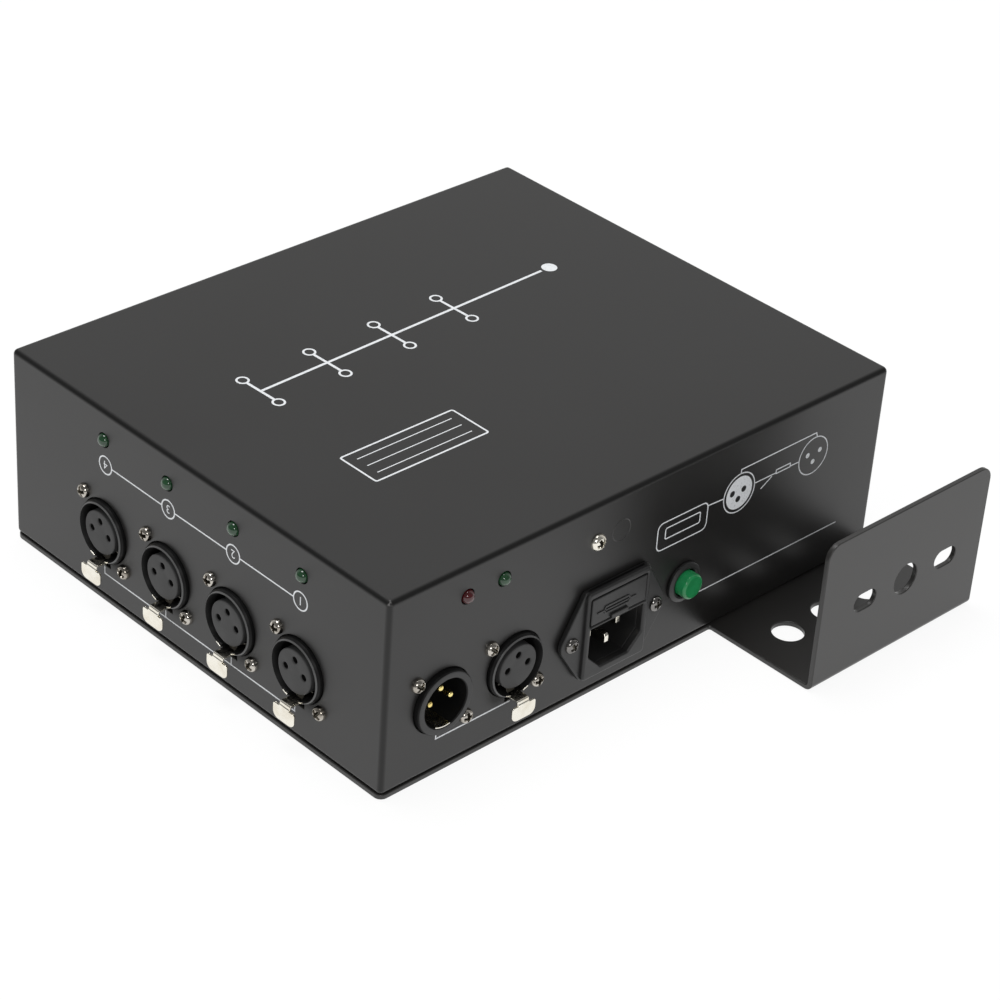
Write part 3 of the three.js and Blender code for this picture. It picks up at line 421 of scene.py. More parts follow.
platings = (("nickelPlate", (0.90, 0.87, 0.78), (0.80, 0.75, 0.64), 0.17),
            ("screwNickel", (0.56, 0.53, 0.48), (0.30, 0.27, 0.23), 0.12),
            # Painted shade: a dark metal for the screws' cross recesses and the latches' hooks
            ("crossShade", (0.130, 0.120, 0.098), (0.058, 0.054, 0.044), 0.32),
            ("blackNickel", (0.270, 0.260, 0.250), (0.110, 0.105, 0.100), 0.11),
            ("goldPlate", (1.0, 0.86, 0.36), (0.86, 0.64, 0.20), 0.18))
nickel, screwMetal, shadeMetal, blackMetal, goldPlate = (
    makeMaterial(name, {"Metallic": 1.0}, platedSurface(*tones)) for name, *tones in platings)


def lensSurface(core, rim):
    # Two tones of one colour in flecks, with faint mould marks
    def surface(place):
        fleck = place.noise(900.0, 2.0, 0.5)
        tone = fleck.step(0.25, 0.75).mix(core, rim)
        return {"Base Color": tone, "Roughness": fleck.step(0.3, 0.7, (0.06, 0.13)),
                "Normal": place.noise(260.0, 1.0).bump(0.08, 2e-5)}
    return surface


lensGloss = {"IOR": 1.5, "Coat Weight": 0.5, "Coat Roughness": 0.03}
greenLens = makeMaterial("greenLens", lensGloss, lensSurface((0.012, 0.058, 0.021, 1.0), (0.007, 0.036, 0.013, 1.0)))
redLens = makeMaterial("redLens", lensGloss, lensSurface((0.064, 0.004, 0.006, 1.0), (0.038, 0.003, 0.004, 1.0)))


def buttonSurface(place):
    slow = place.noise(240.0, 2.0, 0.5)
    tone = slow.step(0.3, 0.7).mix((0.013, 0.205, 0.064, 1.0), (0.017, 0.250, 0.082, 1.0))
    return {"Base Color": tone, "Roughness": slow.step(0.3, 0.7, (0.14, 0.22)),
            "Normal": place.noise(1500.0, 2.0).bump(0.3, 8e-6)}


buttonGreen = makeMaterial("buttonGreen", {"IOR": 1.5}, buttonSurface)


def inkSurface(place):
    # Screen-printed ink: slightly uneven cover, so the coat's darkness shows through in flecks
    thin = place.noise(1300.0, 4.0, 0.7)
    tone = thin.step(0.25, 0.50).mix((0.50, 0.52, 0.54, 1.0), (0.80, 0.82, 0.84, 1.0))
    return {"Base Color": tone, "Roughness": thin.step(0.3, 0.7, (0.50, 0.62)), "Normal": thin.bump(0.2, 6e-6)}


whiteInk = makeMaterial("whiteInk", {"IOR": 1.45}, inkSurface)
print("finishes made")


# Places on the panels: across as seen from outside, and up from the base plate's underside

outputs = {"pitch": 34.65, "towardsEnd": 5.45, "height": 29.3, "lampHeight": 66.2}
endPlaces = {"input": (-93.9, 29.3), "through": (-61.6, 29.3), "powerLamp": (-85.0, 66.2),
             "signalLamp": (-68.9, 66.2), "inlet": (-16.9, 27.8), "earth": (-26.2, 62.8), "button": (18.6, 28.5)}
rowSteps = (1.5 - np.arange(4)) * outputs["pitch"]
rows = {"front": (toFront, outputs["towardsEnd"] + rowSteps, 1),
        "rear": (toRear, -outputs["towardsEnd"] + rowSteps, 5)}


# Cover: flat panels, rolled bends and round corners, outside and inside, joined round every hole

cover = {"collarHole": 12.3, "notch": 3.2, "notchDrop": 14.2, "screwHole": 1.5, "lampHole": 2.8, "edge": 0.25,
         "bendSteps": 7, "inletHole": (29.0, 33.6, 1.5), "inletScrews": (20.0, -1.0, 1.8), "buttonHole": 6.3,
         "earthHole": 2.2, "screwOffset": 11.15}


def keyhole():
    # The collar's circle, open at the bottom into a square notch for the latch
    slope = np.arcsin(cover["notch"] / cover["collarHole"])
    arc = circle(cover["collarHole"], 60, start=slope - np.pi / 2, end=1.5 * np.pi - slope)
    return np.concatenate([arc, [[-cover["notch"], -cover["notchDrop"]], [cover["notch"], -cover["notchDrop"]]]])


def socketHoles(x, y, latched=True):
    offset = cover["screwOffset"]
    holes = [(keyhole() if latched else circle(cover["collarHole"], 60)) + [x, y]]
    return holes + [circle(cover["screwHole"], 16, x + side * offset, y - side * offset) for side in (-1, 1)]


def rowHoles(places):
    holes = []
    for x in places:
        holes += socketHoles(x, outputs["height"]) + [circle(cover["lampHole"], 28, x, outputs["lampHeight"])]
    return holes


def endHoles():
    width, height, corner = cover["inletHole"]
    reach, drop, radius = cover["inletScrews"]
    x, y = endPlaces["inlet"]
    holes = socketHoles(*endPlaces["input"], latched=False) + socketHoles(*endPlaces["through"])
    holes += [circle(cover["lampHole"], 28, *endPlaces[name]) for name in ("powerLamp", "signalLamp")]
    holes += [rectangle(width, height, corner, x, y)]
    holes += [circle(radius, 20, x + side * reach, y + drop) for side in (-1, 1)]
    holes.append(circle(cover["buttonHole"], 40, *endPlaces["button"]))
    return holes + [circle(cover["earthHole"], 24, *endPlaces["earth"])]


def toBottom(points):
    return np.column_stack([points[:, 0], points[:, 1], box["bottom"] - points[:, 2]])


def toPlain(points):
    return np.column_stack([-halfWidth - points[:, 2], -points[:, 0], points[:, 1]])


def coverParts():
    # Flats at the box less its inset; bends (r sin a, r cos a); corners (r sin a cos b, r sin a sin b, r cos a)
    bend, edge, sheetDepth = box["bend"], cover["edge"], box["sheet"]
    flatX, flatY = halfWidth - bend, halfDepth - bend
    low, high = box["bottom"] + bend, box["height"] - bend
    wallX = rectangle(2 * flatX, high - low, 0.0, 0.0, (low + high) / 2)
    wallY = rectangle(2 * flatY, high - low, 0.0, 0.0, (low + high) / 2)
    plan = rectangle(2 * flatX, 2 * flatY)
    inside = 2 * (sheetDepth + box["lip"])
    lipHole = rectangle(box["width"] - inside, box["depth"] - inside, box["lipCorner"])
    panels = [(toFront, wallX, rowHoles(rows["front"][1])), (toRear, wallX, rowHoles(rows["rear"][1])),
              (toEnd, wallY, endHoles()), (toPlain, wallY, []), (toTop, plan, []), (toBottom, plan, [lipHole])]
    parts = []
    for change, outline, holes in panels:
        wide = [offsetLoop(hole, -edge) for hole in holes]
        for inset in (0.0, sheetDepth):
            parts += mapped([fillLoops([outline] + wide, -inset)], change)
        parts += mapped([rim(hole[::-1], sheetDepth, edge, 3) for hole in holes], change)
    turn = np.linspace(0, np.pi / 2, cover["bendSteps"] + 1)
    for radius in (bend, bend - sheetDepth):
        for up, centre in ((1, high), (-1, low)):
            across, rise = radius * np.sin(turn), centre + up * radius * np.cos(turn)
            for side in (-1, 1):
                for along, level in ((flatX, side * (flatY + across)), (flatY, side * (flatX + across))):
                    ends = np.array([-along, along])
                    first, second = np.meshgrid(level, ends, indexing="ij")
                    tall = np.repeat(rise[:, None], 2, 1)
                    order = (second, first, tall) if along is flatX else (first, second, tall)
                    parts.append(gridPart(np.stack(order, -1)))
        for sideX in (-1, 1):
            for sideY in (-1, 1):
                x = sideX * (flatX + radius * np.cos(turn))
                y = sideY * (flatY + radius * np.sin(turn))
                ends = np.array([low, high])
                parts.append(gridPart(np.stack([np.repeat(x[:, None], 2, 1), np.repeat(y[:, None], 2, 1),
                                                np.repeat(ends[None], len(turn), 0)], -1)))
                for up, centre in ((1, high), (-1, low)):
                    polar, round_ = np.meshgrid(turn, turn, indexing="ij")
                    parts.append(gridPart(np.stack([
                        sideX * (flatX + radius * np.sin(polar) * np.cos(round_)),
                        sideY * (flatY + radius * np.sin(polar) * np.sin(round_)),
                        centre + up * radius * np.cos(polar)], -1)))
    return parts


makePiece("coverSheet", coverParts(), powderCoat, replaces=["cover_shell"], weighted=True)
print("cover made")


# Base plate: one flat blank with its tongue folded up into the bracket

base = {"thickness": 2.0, "corner": 3.0, "edge": 0.4, "width": 86.0, "offset": 79.4, "reach": 48.0, "rise": 59.5,
        "bend": 3.0, "round": 5.5, "bendSteps": 10, "hole": 6.0, "slot": (7.0, 11.5, 3.49), "slotPitch": 21.5,
        "rowAt": (81.2, 28.6), "plateHole": 5.9, "plateRow": (119.0, 76.5, 21.0), "screwHole": 3.2,
        "screwAt": (92.8, 89.0), "notchRounds": (0.8, 1.0)}
foldStart = halfWidth + base["reach"] - base["bend"]
foldLength = np.pi / 2 * (base["bend"] - base["thickness"] / 2)


def foldUp(points):
    # Past the fold's start, (s, out) turns about an axis: x = s0 + r sin a, z = bend - r cos a, with r = 1 - out
    along, y, out = points.T
    radius = base["bend"] - base["thickness"] - out
    share = np.clip((along - foldStart) / foldLength, 0, 1) * np.pi / 2
    x = np.minimum(along, foldStart) + radius * np.sin(share)
    past = np.maximum(along - foldStart - foldLength, 0)
    return np.column_stack([x, y, base["bend"] - radius * np.cos(share) + past])


def baseParts():
    low, high = base["offset"] - base["width"] / 2, base["offset"] + base["width"] / 2
    last = foldStart + foldLength + base["rise"] - base["bend"]
    creases = foldStart + foldLength * np.linspace(0, 1, base["bendSteps"] + 1)
    corners = [(-halfWidth, -halfDepth), (halfWidth, -halfDepth), (halfWidth, low)]
    corners += [(s, low) for s in creases] + [(last, low), (last, high)] + [(s, high) for s in creases[::-1]]
    corners += [(halfWidth, high), (halfWidth, halfDepth), (-halfWidth, halfDepth)]
    flat = [0.0] * len(creases)
    corner, (nearTongue, farTongue) = base["corner"], base["notchRounds"]
    radii = [corner, corner, nearTongue] + flat + [base["round"]] * 2 + flat + [farTongue, farTongue, corner]
    plateX, plateY, pitch = base["plateRow"]
    holes = [circle(base["plateHole"], 48, plateX, plateY + step * pitch) for step in (-1, 0, 1)]
    rowY, rowZ = base["rowAt"]
    rowS = foldStart + foldLength + rowZ - base["bend"]
    holes.append(circle(base["hole"], 48, rowS, rowY))
    width, length, radius = base["slot"]
    holes += [rectangle(width, length, radius, rowS, rowY + side * base["slotPitch"], 10) for side in (-1, 1)]
    x, y = base["screwAt"]
    holes += [circle(base["screwHole"], 32, sideX * x, sideY * y) for sideX in (-1, 1) for sideY in (-1, 1)]
    parts = sheet(roundCorners(corners, radii, 8), holes, base["thickness"], base["edge"], creases, 4)
    return mapped(parts, foldUp)


makePiece("baseSheet", baseParts(), plainCoat, replaces=["base_plate"], weighted=True)
print("base and bracket made")


# Screws: a domed head with a cross recess

recess = {"fade": 0.10, "slope": (1.15, 0.5), "most": 0.9, "dark": 0.45}


def screwHead(radius, height, turn, cross=(0.55, 0.16, 0.62), power=2.6, rings=26, sides=56):
    # out = h (1 - (r/R)^p)^(1/2) less the cross: a depth that fades with the signed distance to two crossed bars.
    # The head comes first, and the faces inside its cross, painted darker as shade, second
    reach, half, deep = cross[0] * radius, cross[1] * radius, cross[2] * height
    middle, loss = recess["slope"]
    distance = np.linspace(0, 1, rings) ** 0.9
    angle = np.linspace(0, 2 * np.pi, sides, endpoint=False)
    share, around = np.meshgrid(distance, angle, indexing="ij")
    dome = height * np.sqrt(np.clip(1 - share ** power, 0, 1))
    a, b = np.abs(share * radius * np.cos(around)), np.abs(share * radius * np.sin(around))
    bar = np.minimum(np.maximum(a - reach, b - half), np.maximum(b - reach, a - half))
    fade = np.clip(0.5 - bar / (recess["fade"] * radius), 0, 1)
    fade = fade * fade * (3 - 2 * fade)
    out = dome - fade * np.minimum(deep * (middle - share / cross[0] * loss), dome * recess["most"])
    points = np.stack([share * radius * np.cos(around + turn), share * radius * np.sin(around + turn), out], -1)
    foot = np.stack([points[-1, :, 0], points[-1, :, 1], np.zeros(sides)], -1)[None]
    closing = np.zeros((1, sides, 3))
    whole, faces = gridPart(np.concatenate([points, foot, closing]), wrapColumns=True)
    depth = np.concatenate([fade.ravel(), np.zeros(2 * sides)])
    crossed = depth[faces].mean(1) > recess["dark"]
    return [(whole, faces[~crossed])], [(whole, faces[crossed])]


def shank(radius, length):
    return turned([(0, 0.3), (radius, 0.3), (radius, -length), (0, -length)], 0.0, 16, 1)


panScrew = {"radius": 2.75, "height": 2.1, "crownPower": 3.2, "shank": (1.35, 7.0), "cross": (0.66, 0.19, 0.8),
            "turn": 2.4, "seat": 0.02}


def addScrewPair(name, change, x, y, seed):
    heads, crosses = [], []
    offset = cover["screwOffset"]
    for i, (dx, dy) in enumerate(((-offset, offset), (offset, -offset))):
        turn = panScrew["turn"] * (2 * seed + i)
        head, cross = screwHead(panScrew["radius"], panScrew["height"], turn, panScrew["cross"],
                                panScrew["crownPower"])
        heads += moved(head + shank(*panScrew["shank"]), x + dx, y + dy, panScrew["seat"])
        crosses += moved(cross, x + dx, y + dy, panScrew["seat"])
    makePiece(name, mapped(heads, change), screwMetal, second=(shadeMetal, mapped(crosses, change)))


# Sockets for plugs with three pins: a collar round an insert, with a latch below

socket = {"radius": 12.0, "rim": 2.3, "bore": 9.9, "floor": -11.0, "back": -18.0, "slotFloor": -7.3, "slot": 2.9,
          "taper": (0.55, 1.3), "lip": (0.95, 0.40), "mouth": (1.0, 2.6), "rounds": (0, 0, 0.4, 0.1, 0.1, 0.05, 0.3),
          "insert": 8.3, "insertFace": 2.0, "insertRound": 0.45, "contactCircle": 4.55, "contact": 1.25,
          "sleeve": (0.72, 1.1, -9.0, -1.0), "flange": (26.5, 3.0, 2.0), "flangeBack": -1.5, "flangeHole": 11.2,
          "overlap": 0.5}
contactPlaces = [(-socket["contactCircle"], 0.0), (0.0, socket["contactCircle"]), (socket["contactCircle"], 0.0)]


def collarParts():
    # The collar's section is carried round from one side of the latch slot to the other: each point stops at
    # asin(slot / r) from straight down, so that the slot's sides stay parallel.
    # The slanted lip near the rim, painted paler as a highlight, comes second
    radius, rim, bore = socket["radius"], socket["rim"], socket["bore"]
    foot = socket["slotFloor"] - socket["overlap"]
    (narrowing, slope), (lipIn, lipDrop), (mouth, mouthDrop) = socket["taper"], socket["lip"], socket["mouth"]
    section = [(bore, foot), (radius, foot), (radius, rim - slope), (radius - narrowing, rim - lipDrop),
               (radius - lipIn, rim), (bore + mouth, rim), (bore, rim - mouthDrop)]
    line = roundCorners(section, socket["rounds"], 6)
    stop = np.arcsin(socket["slot"] / line[:, 0])
    share = np.linspace(0, 1, 84)[:, None]
    sides, caps = swept(line, -np.pi / 2 + stop + share * (2 * np.pi - 2 * stop))
    plain, lip = divided(sides, lambda r, out: (r > radius - lipIn - 0.03) & (out > rim - lipDrop - 0.02))
    return plain + caps, lip


def flangeParts():
    size, corner, depth = socket["flange"]
    screws = [circle(cover["screwHole"], 16, side * cover["screwOffset"], -side * cover["screwOffset"])
              for side in (-1, 1)]
    holes = [circle(socket["flangeHole"], 48)] + screws
    return moved(sheet(rectangle(size, size, corner), holes, depth, 0.2), out=socket["flangeBack"])


def housingParts():
    body = turned([(0, socket["back"]), (socket["radius"], socket["back"]), (socket["radius"], socket["slotFloor"]),
                   (socket["bore"], socket["slotFloor"]), (socket["bore"], socket["floor"]), (0, socket["floor"])],
                  [0, 0.5, 0.2, 0.2, 0, 0])
    collar, lip = collarParts()
    return body + collar + flangeParts(), lip


def insertParts():
    # The holes' walls, painted darker than the face as shade, come second
    holes = [circle(socket["contact"], 24, x, y) for x, y in contactPlaces]
    depth = socket["insertFace"] - socket["floor"]
    disc = sheet(circle(socket["insert"], 72), holes, depth, socket["insertRound"], steps=4)
    return [moved(half, out=socket["insertFace"])
            for half in divided(disc, lambda r, out: (out < -0.5) & (r < socket["insert"] - 0.3))]


def contactParts():
    # Sprung sleeves, set back behind the insert's holes
    sleeve = tube(*socket["sleeve"], 20)
    return [part for x, y in contactPlaces for part in moved(sleeve, x, y)]


slotEnd = {"section": [(10.70, 2.0), (11.22, 2.0), (11.22, 2.37), (10.70, 2.37)], "angles": (15.0, 27.0)}


def slotEndParts():
    # Small bright plates in the rim on both sides of the latch's slot
    start, end = slotEnd["angles"]
    return sector(slotEnd["section"], -end, -start) + sector(slotEnd["section"], start, end)


latch = {"arm": 2.6, "tab": 5.3, "tabTop": -12.8, "tabBottom": -18.6, "face": 6.2, "top": -11.2, "thickness": 0.8,
         "pivot": -6.0, "round": 2.6, "shoulder": 1.0, "edge": 0.22, "hookPeak": (-1.7, -9.5), "hook": (-2.2, -0.2),
         "hookHalf": 1.7, "hookSink": 0.3, "neckBack": (0.7, 0.5), "neckRise": (0.4, 0.1),
         "pathRounds": (0, 0.7, 0.25, 0.4, 0), "eye": (0.45, 1.0, 2.4, -2.4), "eyeDrop": 0.4}


def latchPath():
    # The lever's outer face as (out, up): along the arm, over a bend, down the neck, a crease, and down the tab
    face, tabTop = latch["face"], latch["tabTop"]
    (bendBack, creaseBack), (above, below) = latch["neckBack"], latch["neckRise"]
    line = [(latch["pivot"], latch["top"]), (face - bendBack, latch["top"]), (face - creaseBack, tabTop + above),
            (face, tabTop - below), (face, latch["tabBottom"])]
    return roundCorners(line, latch["pathRounds"], 7)


def latchParts():
    # A flat blank of half width h(s) along the path; out of the blank follows the path's normal
    path = latchPath()
    step = np.linalg.norm(np.diff(path, axis=0), axis=1)
    length = np.concatenate([[0], np.cumsum(step)])
    total = length[-1]
    neckEnd = total - (latch["tabTop"] - latch["tabBottom"])
    top = np.linspace(0, np.pi / 2, 7)
    shoulder = np.column_stack([neckEnd + latch["shoulder"] * (1 - np.cos(top)),
                                latch["tab"] - latch["shoulder"] * (1 - np.sin(top))])
    bottom = np.column_stack([total - latch["round"] * (1 - np.sin(top)),
                              latch["tab"] - latch["round"] * (1 - np.cos(top))])
    stations = length[(length > 0) & (length < neckEnd - 0.05)]
    side = np.concatenate([[[0, latch["arm"]]], np.column_stack([stations, np.full(len(stations), latch["arm"])]),
                           [[neckEnd, latch["arm"]]], shoulder, bottom])
    outline = np.concatenate([side * [1, -1], side[::-1]])
    tangent = np.gradient(path, length, axis=0)
    tangent /= np.linalg.norm(tangent, axis=1, keepdims=True)

    def bendBlank(points):
        s, x, depth = points.T
        out, up = (np.interp(s, length, path[:, i]) for i in (0, 1))
        tOut, tUp = (np.interp(s, length, tangent[:, i]) for i in (0, 1))
        return np.column_stack([x, up + tOut * depth, out - tUp * depth])

    blank = sheet(outline, (), latch["thickness"], latch["edge"], stations[1:-1:2], 3)
    start, end = latch["hook"]
    foot = latch["top"] - latch["hookSink"]
    wedge = roundCorners([(start, foot), (end, foot), latch["hookPeak"]], [0, 0, 0.25])
    hook = moved(sheet(wedge, (), 2 * latch["hookHalf"], 0.15), out=latch["hookHalf"])
    place = [0, latch["top"] - latch["eyeDrop"], latch["pivot"]]
    eye = mapped(tube(*latch["eye"], 24), lambda p: p[:, [2, 0, 1]] + place)
    return mapped(blank, bendBlank) + eye, mapped(hook, lambda p: p[:, ::-1])


(housing, lip), (lever, hook) = housingParts(), latchParts()
(insert, shadedHoleWalls), contacts, slotEnds = insertParts(), contactParts(), slotEndParts()


def addSocket(change, x, y, node, latchNode, seed):
    tag = node.replace("_socket", "").replace("_", "")
    def onPanel(parts):
        return placed(parts, change, x, y)

    makePiece(tag + "Housing", onPanel(housing), socketPlastic, replaces=[node],
              second=(lipPlastic, onPanel(lip)))
    makePiece(tag + "Insert", onPanel(insert), insertPlastic, replaces=[node],
              second=(socketPlastic, onPanel(shadedHoleWalls)))
    makePiece(tag + "Contacts", onPanel(contacts), goldPlate)
    makePiece(tag + "SlotEnds", onPanel(slotEnds), nickel)
    # The hook takes the dark shade metal: painted shade in the slot under the collar
    makePiece(tag + "Latch", onPanel(lever), nickel, latchNode, [latchNode], weighted=True,
              second=(shadeMetal, onPanel(hook)))
    addScrewPair(tag + "Screws", change, x, y, seed)


lens = {"radius": 2.5, "height": 2.0, "flange": 3.1, "flangeAt": (-5.0, -4.0), "leg": (0.5, 14.0, 0.08),
        "legPlace": (1.27, -3.9)}


def lensParts():
    # The crown is a quarter circle about a centre just inside the panel: (r cos a, h - r + r sin a)
    angle = np.linspace(0, np.pi / 2, 12)
    radius, centre = lens["radius"], lens["height"] - lens["radius"]
    crown = np.column_stack([radius * np.cos(angle), centre + radius * np.sin(angle)])
    crown[-1, 0] = 0.0
    back, front = lens["flangeAt"]
    foot = np.array([(0, back), (lens["flange"], back), (lens["flange"], front), (radius, front)])
    width, length, edge = lens["leg"]
    aside, out = lens["legPlace"]
    leg = sheet(rectangle(width, width), (), length, edge)
    return turned(np.concatenate([foot, crown]), 0.0, 40, 1) + moved(leg, -aside, out=out) + moved(leg, aside, out=out)


lensShape = lensParts()


def addLens(change, x, y, node, material, slot):
    makePiece(node.replace("_lamp", "").replace("_", "") + "Lens", placed(lensShape, change, x, y), material,
              replaces=[node])


for change, places, first in rows.values():
    for i, x in enumerate(places):
        number = first + i
        addSocket(change, x, outputs["height"], f"output_socket_{number}", f"output_latch_{number}", number)
        addLens(change, x, outputs["lampHeight"], f"output_lamp_{number}", greenLens, "green_lens")
addSocket(toEnd, *endPlaces["through"], "through_socket", "through_latch", 9)
addLens(toEnd, *endPlaces["powerLamp"], "power_lamp", redLens, "red_lens")
addLens(toEnd, *endPlaces["signalLamp"], "signal_lamp", greenLens, "green_lens")
print("output sockets, latches and lamps made")


# Input socket: a plain collar with its pins inside

inputSocket = {"mouth": 9.2, "floor": -12.5, "pin": 1.2, "pinTip": -0.1, "dome": 0.85, "ring": (9.45, 11.5),
               "mouthEdge": 0.4, "rounds": (0, 0.5, 0.9, 0.2, 0.2, 0.2, 0),
               "strip": [(8.78, -9.0), (9.22, -9.0), (9.22, 2.2), (8.78, 2.2)], "stripAngles": (-28.0, 14.0)}


def inputParts():
    radius, back, top, mouth = socket["radius"], socket["back"], socket["rim"], inputSocket["mouth"]
    edge, floor = inputSocket["mouthEdge"], inputSocket["floor"]
    body = turned([(0, back), (radius, back), (radius, top), (mouth + edge, top), (mouth, top - edge), (mouth, floor),
                   (0, floor)], inputSocket["rounds"], 72, 5)
    inner, outer = inputSocket["ring"]
    # The collar's front ring is split off for the insert's paler plastic: painted light where the face catches the
    # lamps
    plain, face = divided(body, lambda r, out: (r > inner) & (r < outer) & (out > socket["rim"] - 0.3))
    return plain + flangeParts(), face


def pinParts():
    # Each pin ends in a low dome: radius falls as the cosine while the height rises as the sine
    angle = np.linspace(0, np.pi / 2, 8)
    radius, dome, end = inputSocket["pin"], inputSocket["dome"], inputSocket["pinTip"]
    tip = np.column_stack([radius - dome + dome * np.cos(angle), end - dome + dome * np.sin(angle)])
    return turned(np.concatenate([[(0, socket["back"]), (radius, socket["back"])], tip, [(0, end)]]), 0.0, 28, 1)


x, y = endPlaces["input"]
shell, face = (placed(half, toEnd, x, y) for half in inputParts())
makePiece("inputHousing", shell, socketPlastic, replaces=["input_socket"],
          second=(insertPlastic, face))
for i, (dx, dy) in enumerate(contactPlaces):
    makePiece(f"inputPin{i + 1}", placed(pinParts(), toEnd, x + dx, y + dy), goldPlate,
              replaces=[f"input_pin_{i + 1}"])
groundStrip = sector(inputSocket["strip"], *inputSocket["stripAngles"], 16)
makePiece("inputGroundStrip", placed(groundStrip, toEnd, x, y), nickel)
addScrewPair("inputScrews", toEnd, x, y, 10)
print("input socket made")


# Mains inlet with its fuse drawer

inlet = {"flat": 14.9, "half": 17.8, "tip": 25.78, "rounds": (1.0, 1.0, 5.0, 1.0, 1.0, 5.0), "drop": -1.0, "ear": 2.3,
         "earDepth": 2.0, "earHole": 1.8, "earWindow": (27.6, 33.4, 0.5), "face": 3.8, "faceDepth": 3.5,
         "faceCorner": 1.6, "earEdge": 0.45, "faceEdge": 0.9, "bodyEdges": (0.1, 0.4),
         "recess": (25.2, 17.4, 6.0, -5.8), "recessRounds": (0.8, 0.8, 0.8, 0.5, 0.5, 0.8), "floor": -13.2,
         "window": (26.6, 11.0, 9.7, 0.4), "body": (28.4, 33.0, 1.5), "bodyFront": 0.8, "back": -24.0,
         "trayRoom": 0.6, "screw": (2.9, 1.7, 20.0), "shank": (1.5, 9.0), "screwTurns": (0.5, 1.6)}
drawer = {"size": (26.0, 10.4, 9.7), "front": 3.0, "corner": 0.6, "tab": (8.0, 1.6, 0.9), "tabDepth": 2.0,
          "tray": (24.0, 8.6, 14.0), "trayFloor": 1.2, "trayOpen": 1.0, "traySink": 0.2, "pocket": (20.6, 5.8),
          "mark": (12.5, 3.4, 0.8, 0.35), "markPlace": (-1.2, 8.8), "markTails": 6.0, "markSink": 0.2,
          "edges": (0.35, 0.3, 0.15, 0.14)}
blade = {"thickness": 2.0, "height": 4.0, "spread": 7.0, "rise": -4.4, "earthDrop": -8.4, "recess": (6.1, 4.2),
         "back": -30.0, "bevel": (0.7, 0.8)}


def recessLoop():
    # The plug's outline: square above, and cut off at both lower corners
    width, height, chamfer, middle = inlet["recess"]
    half, top, bottom = width / 2, middle + height / 2, middle - height / 2
    corners = [(-half + chamfer, bottom), (half - chamfer, bottom), (half, bottom + chamfer), (half, top),
               (-half, top), (-half, bottom + chamfer)]
    return roundCorners(corners, inlet["recessRounds"])


def inletParts():
    flat, half, drop = inlet["flat"], inlet["half"], inlet["drop"]
    hexagon = [(-flat, -half), (flat, -half), (inlet["tip"], drop), (flat, half), (-flat, half), (-inlet["tip"], drop)]
    outline = roundCorners(hexagon, inlet["rounds"], 8)
    reach = inlet["screw"][2]
    holes = [rectangle(*inlet["earWindow"])] + [circle(inlet["earHole"], 24, side * reach, drop) for side in (-1, 1)]
    flange = moved(sheet(outline, holes, inlet["earDepth"], inlet["earEdge"], steps=4), out=inlet["ear"])
    width, height, rise, corner = inlet["window"]
    holes = [recessLoop(), rectangle(width, height, corner, 0, rise)]
    face = rectangle(2 * flat, 2 * half, inlet["faceCorner"])
    raised = moved(sheet(face, holes, inlet["faceDepth"], inlet["faceEdge"], steps=5), out=inlet["face"])
    width, height = (size + inlet["trayRoom"] for size in drawer["tray"][:2])
    holes = [recessLoop(), rectangle(width, height, 0.3, 0, rise)]
    body, front, floor = rectangle(*inlet["body"]), inlet["bodyFront"], inlet["floor"]
    shaftEdge, backEdge = inlet["bodyEdges"]
    shaft = moved(sheet(body, holes, front - floor, shaftEdge), out=front)
    return flange + raised + shaft + moved(sheet(body, (), floor - inlet["back"], backEdge), out=floor)


def bladeParts(x, y, recess):
    # A flat tongue with a bevelled tip, drawn in (out, up) and carried across its thickness
    tip, half = inlet["face"] - recess, blade["height"] / 2
    back, (along, across) = blade["back"], blade["bevel"]
    outline = roundCorners([(back, -half), (tip - along, -half), (tip, across - half), (tip, half - across),
                            (tip - along, half), (back, half)], [0, 0.4, 0.4, 0.4, 0.4, 0])
    flat = moved(sheet(outline, (), blade["thickness"], 0.3), out=blade["thickness"] / 2)
    return mapped(flat, lambda p: p[:, ::-1] + [x, y, 0])


def drawerParts():
    width, height, rise = drawer["size"]
    faceEdge, tabEdge, trayEdge = drawer["edges"][:3]
    face = sheet(rectangle(width, height, drawer["corner"]), (), drawer["front"], faceEdge, steps=4)
    tabWidth, tabHeight, tabReach = drawer["tab"]
    tab = sheet(rectangle(tabWidth, tabHeight, 0.3), (), drawer["tabDepth"], tabEdge)
    tab = moved(tab, 0, rise + (tabHeight - height) / 2, inlet["face"] + tabReach)
    trayWidth, trayHeight, trayDepth = drawer["tray"]
    plan = rectangle(trayWidth, trayDepth, 0.4, 0, -trayDepth / 2)
    pocket = rectangle(*drawer["pocket"], 0.4, 0, -trayDepth / 2)
    floor = moved(sheet(plan, (), drawer["trayFloor"], trayEdge), out=drawer["trayFloor"])
    walls = moved(sheet(plan, [pocket], trayHeight - drawer["trayOpen"], trayEdge), out=trayHeight)
    place = [0, rise - trayHeight / 2, inlet["face"] - drawer["front"] + drawer["traySink"]]
    return moved(face, 0, rise, inlet["face"]) + tab + mapped(floor + walls, lambda p: p[:, [0, 2, 1]] + place)


def fuseMark():
    # The usual sign for a fuse, embossed: a long box with a line through it
    length, height, width, proud = drawer["mark"]
    x, y = drawer["markPlace"]
    depth, edge = proud + drawer["markSink"], drawer["edges"][-1]
    outer = rectangle(length, height, 1.2, x, y)
    border = sheet(outer, [offsetLoop(outer, width)], depth, edge, steps=2)
    line = sheet(rectangle(length + drawer["markTails"], 0.8 * width, 0.2, x, y), (), depth, edge, steps=2)
    return moved(border + line, out=inlet["face"] + proud)


def onInlet(parts, aside=0.0, rise=0.0, out=0.0):
    return placed(parts, toEnd, endPlaces["inlet"][0] + aside, endPlaces["inlet"][1] + rise, out)


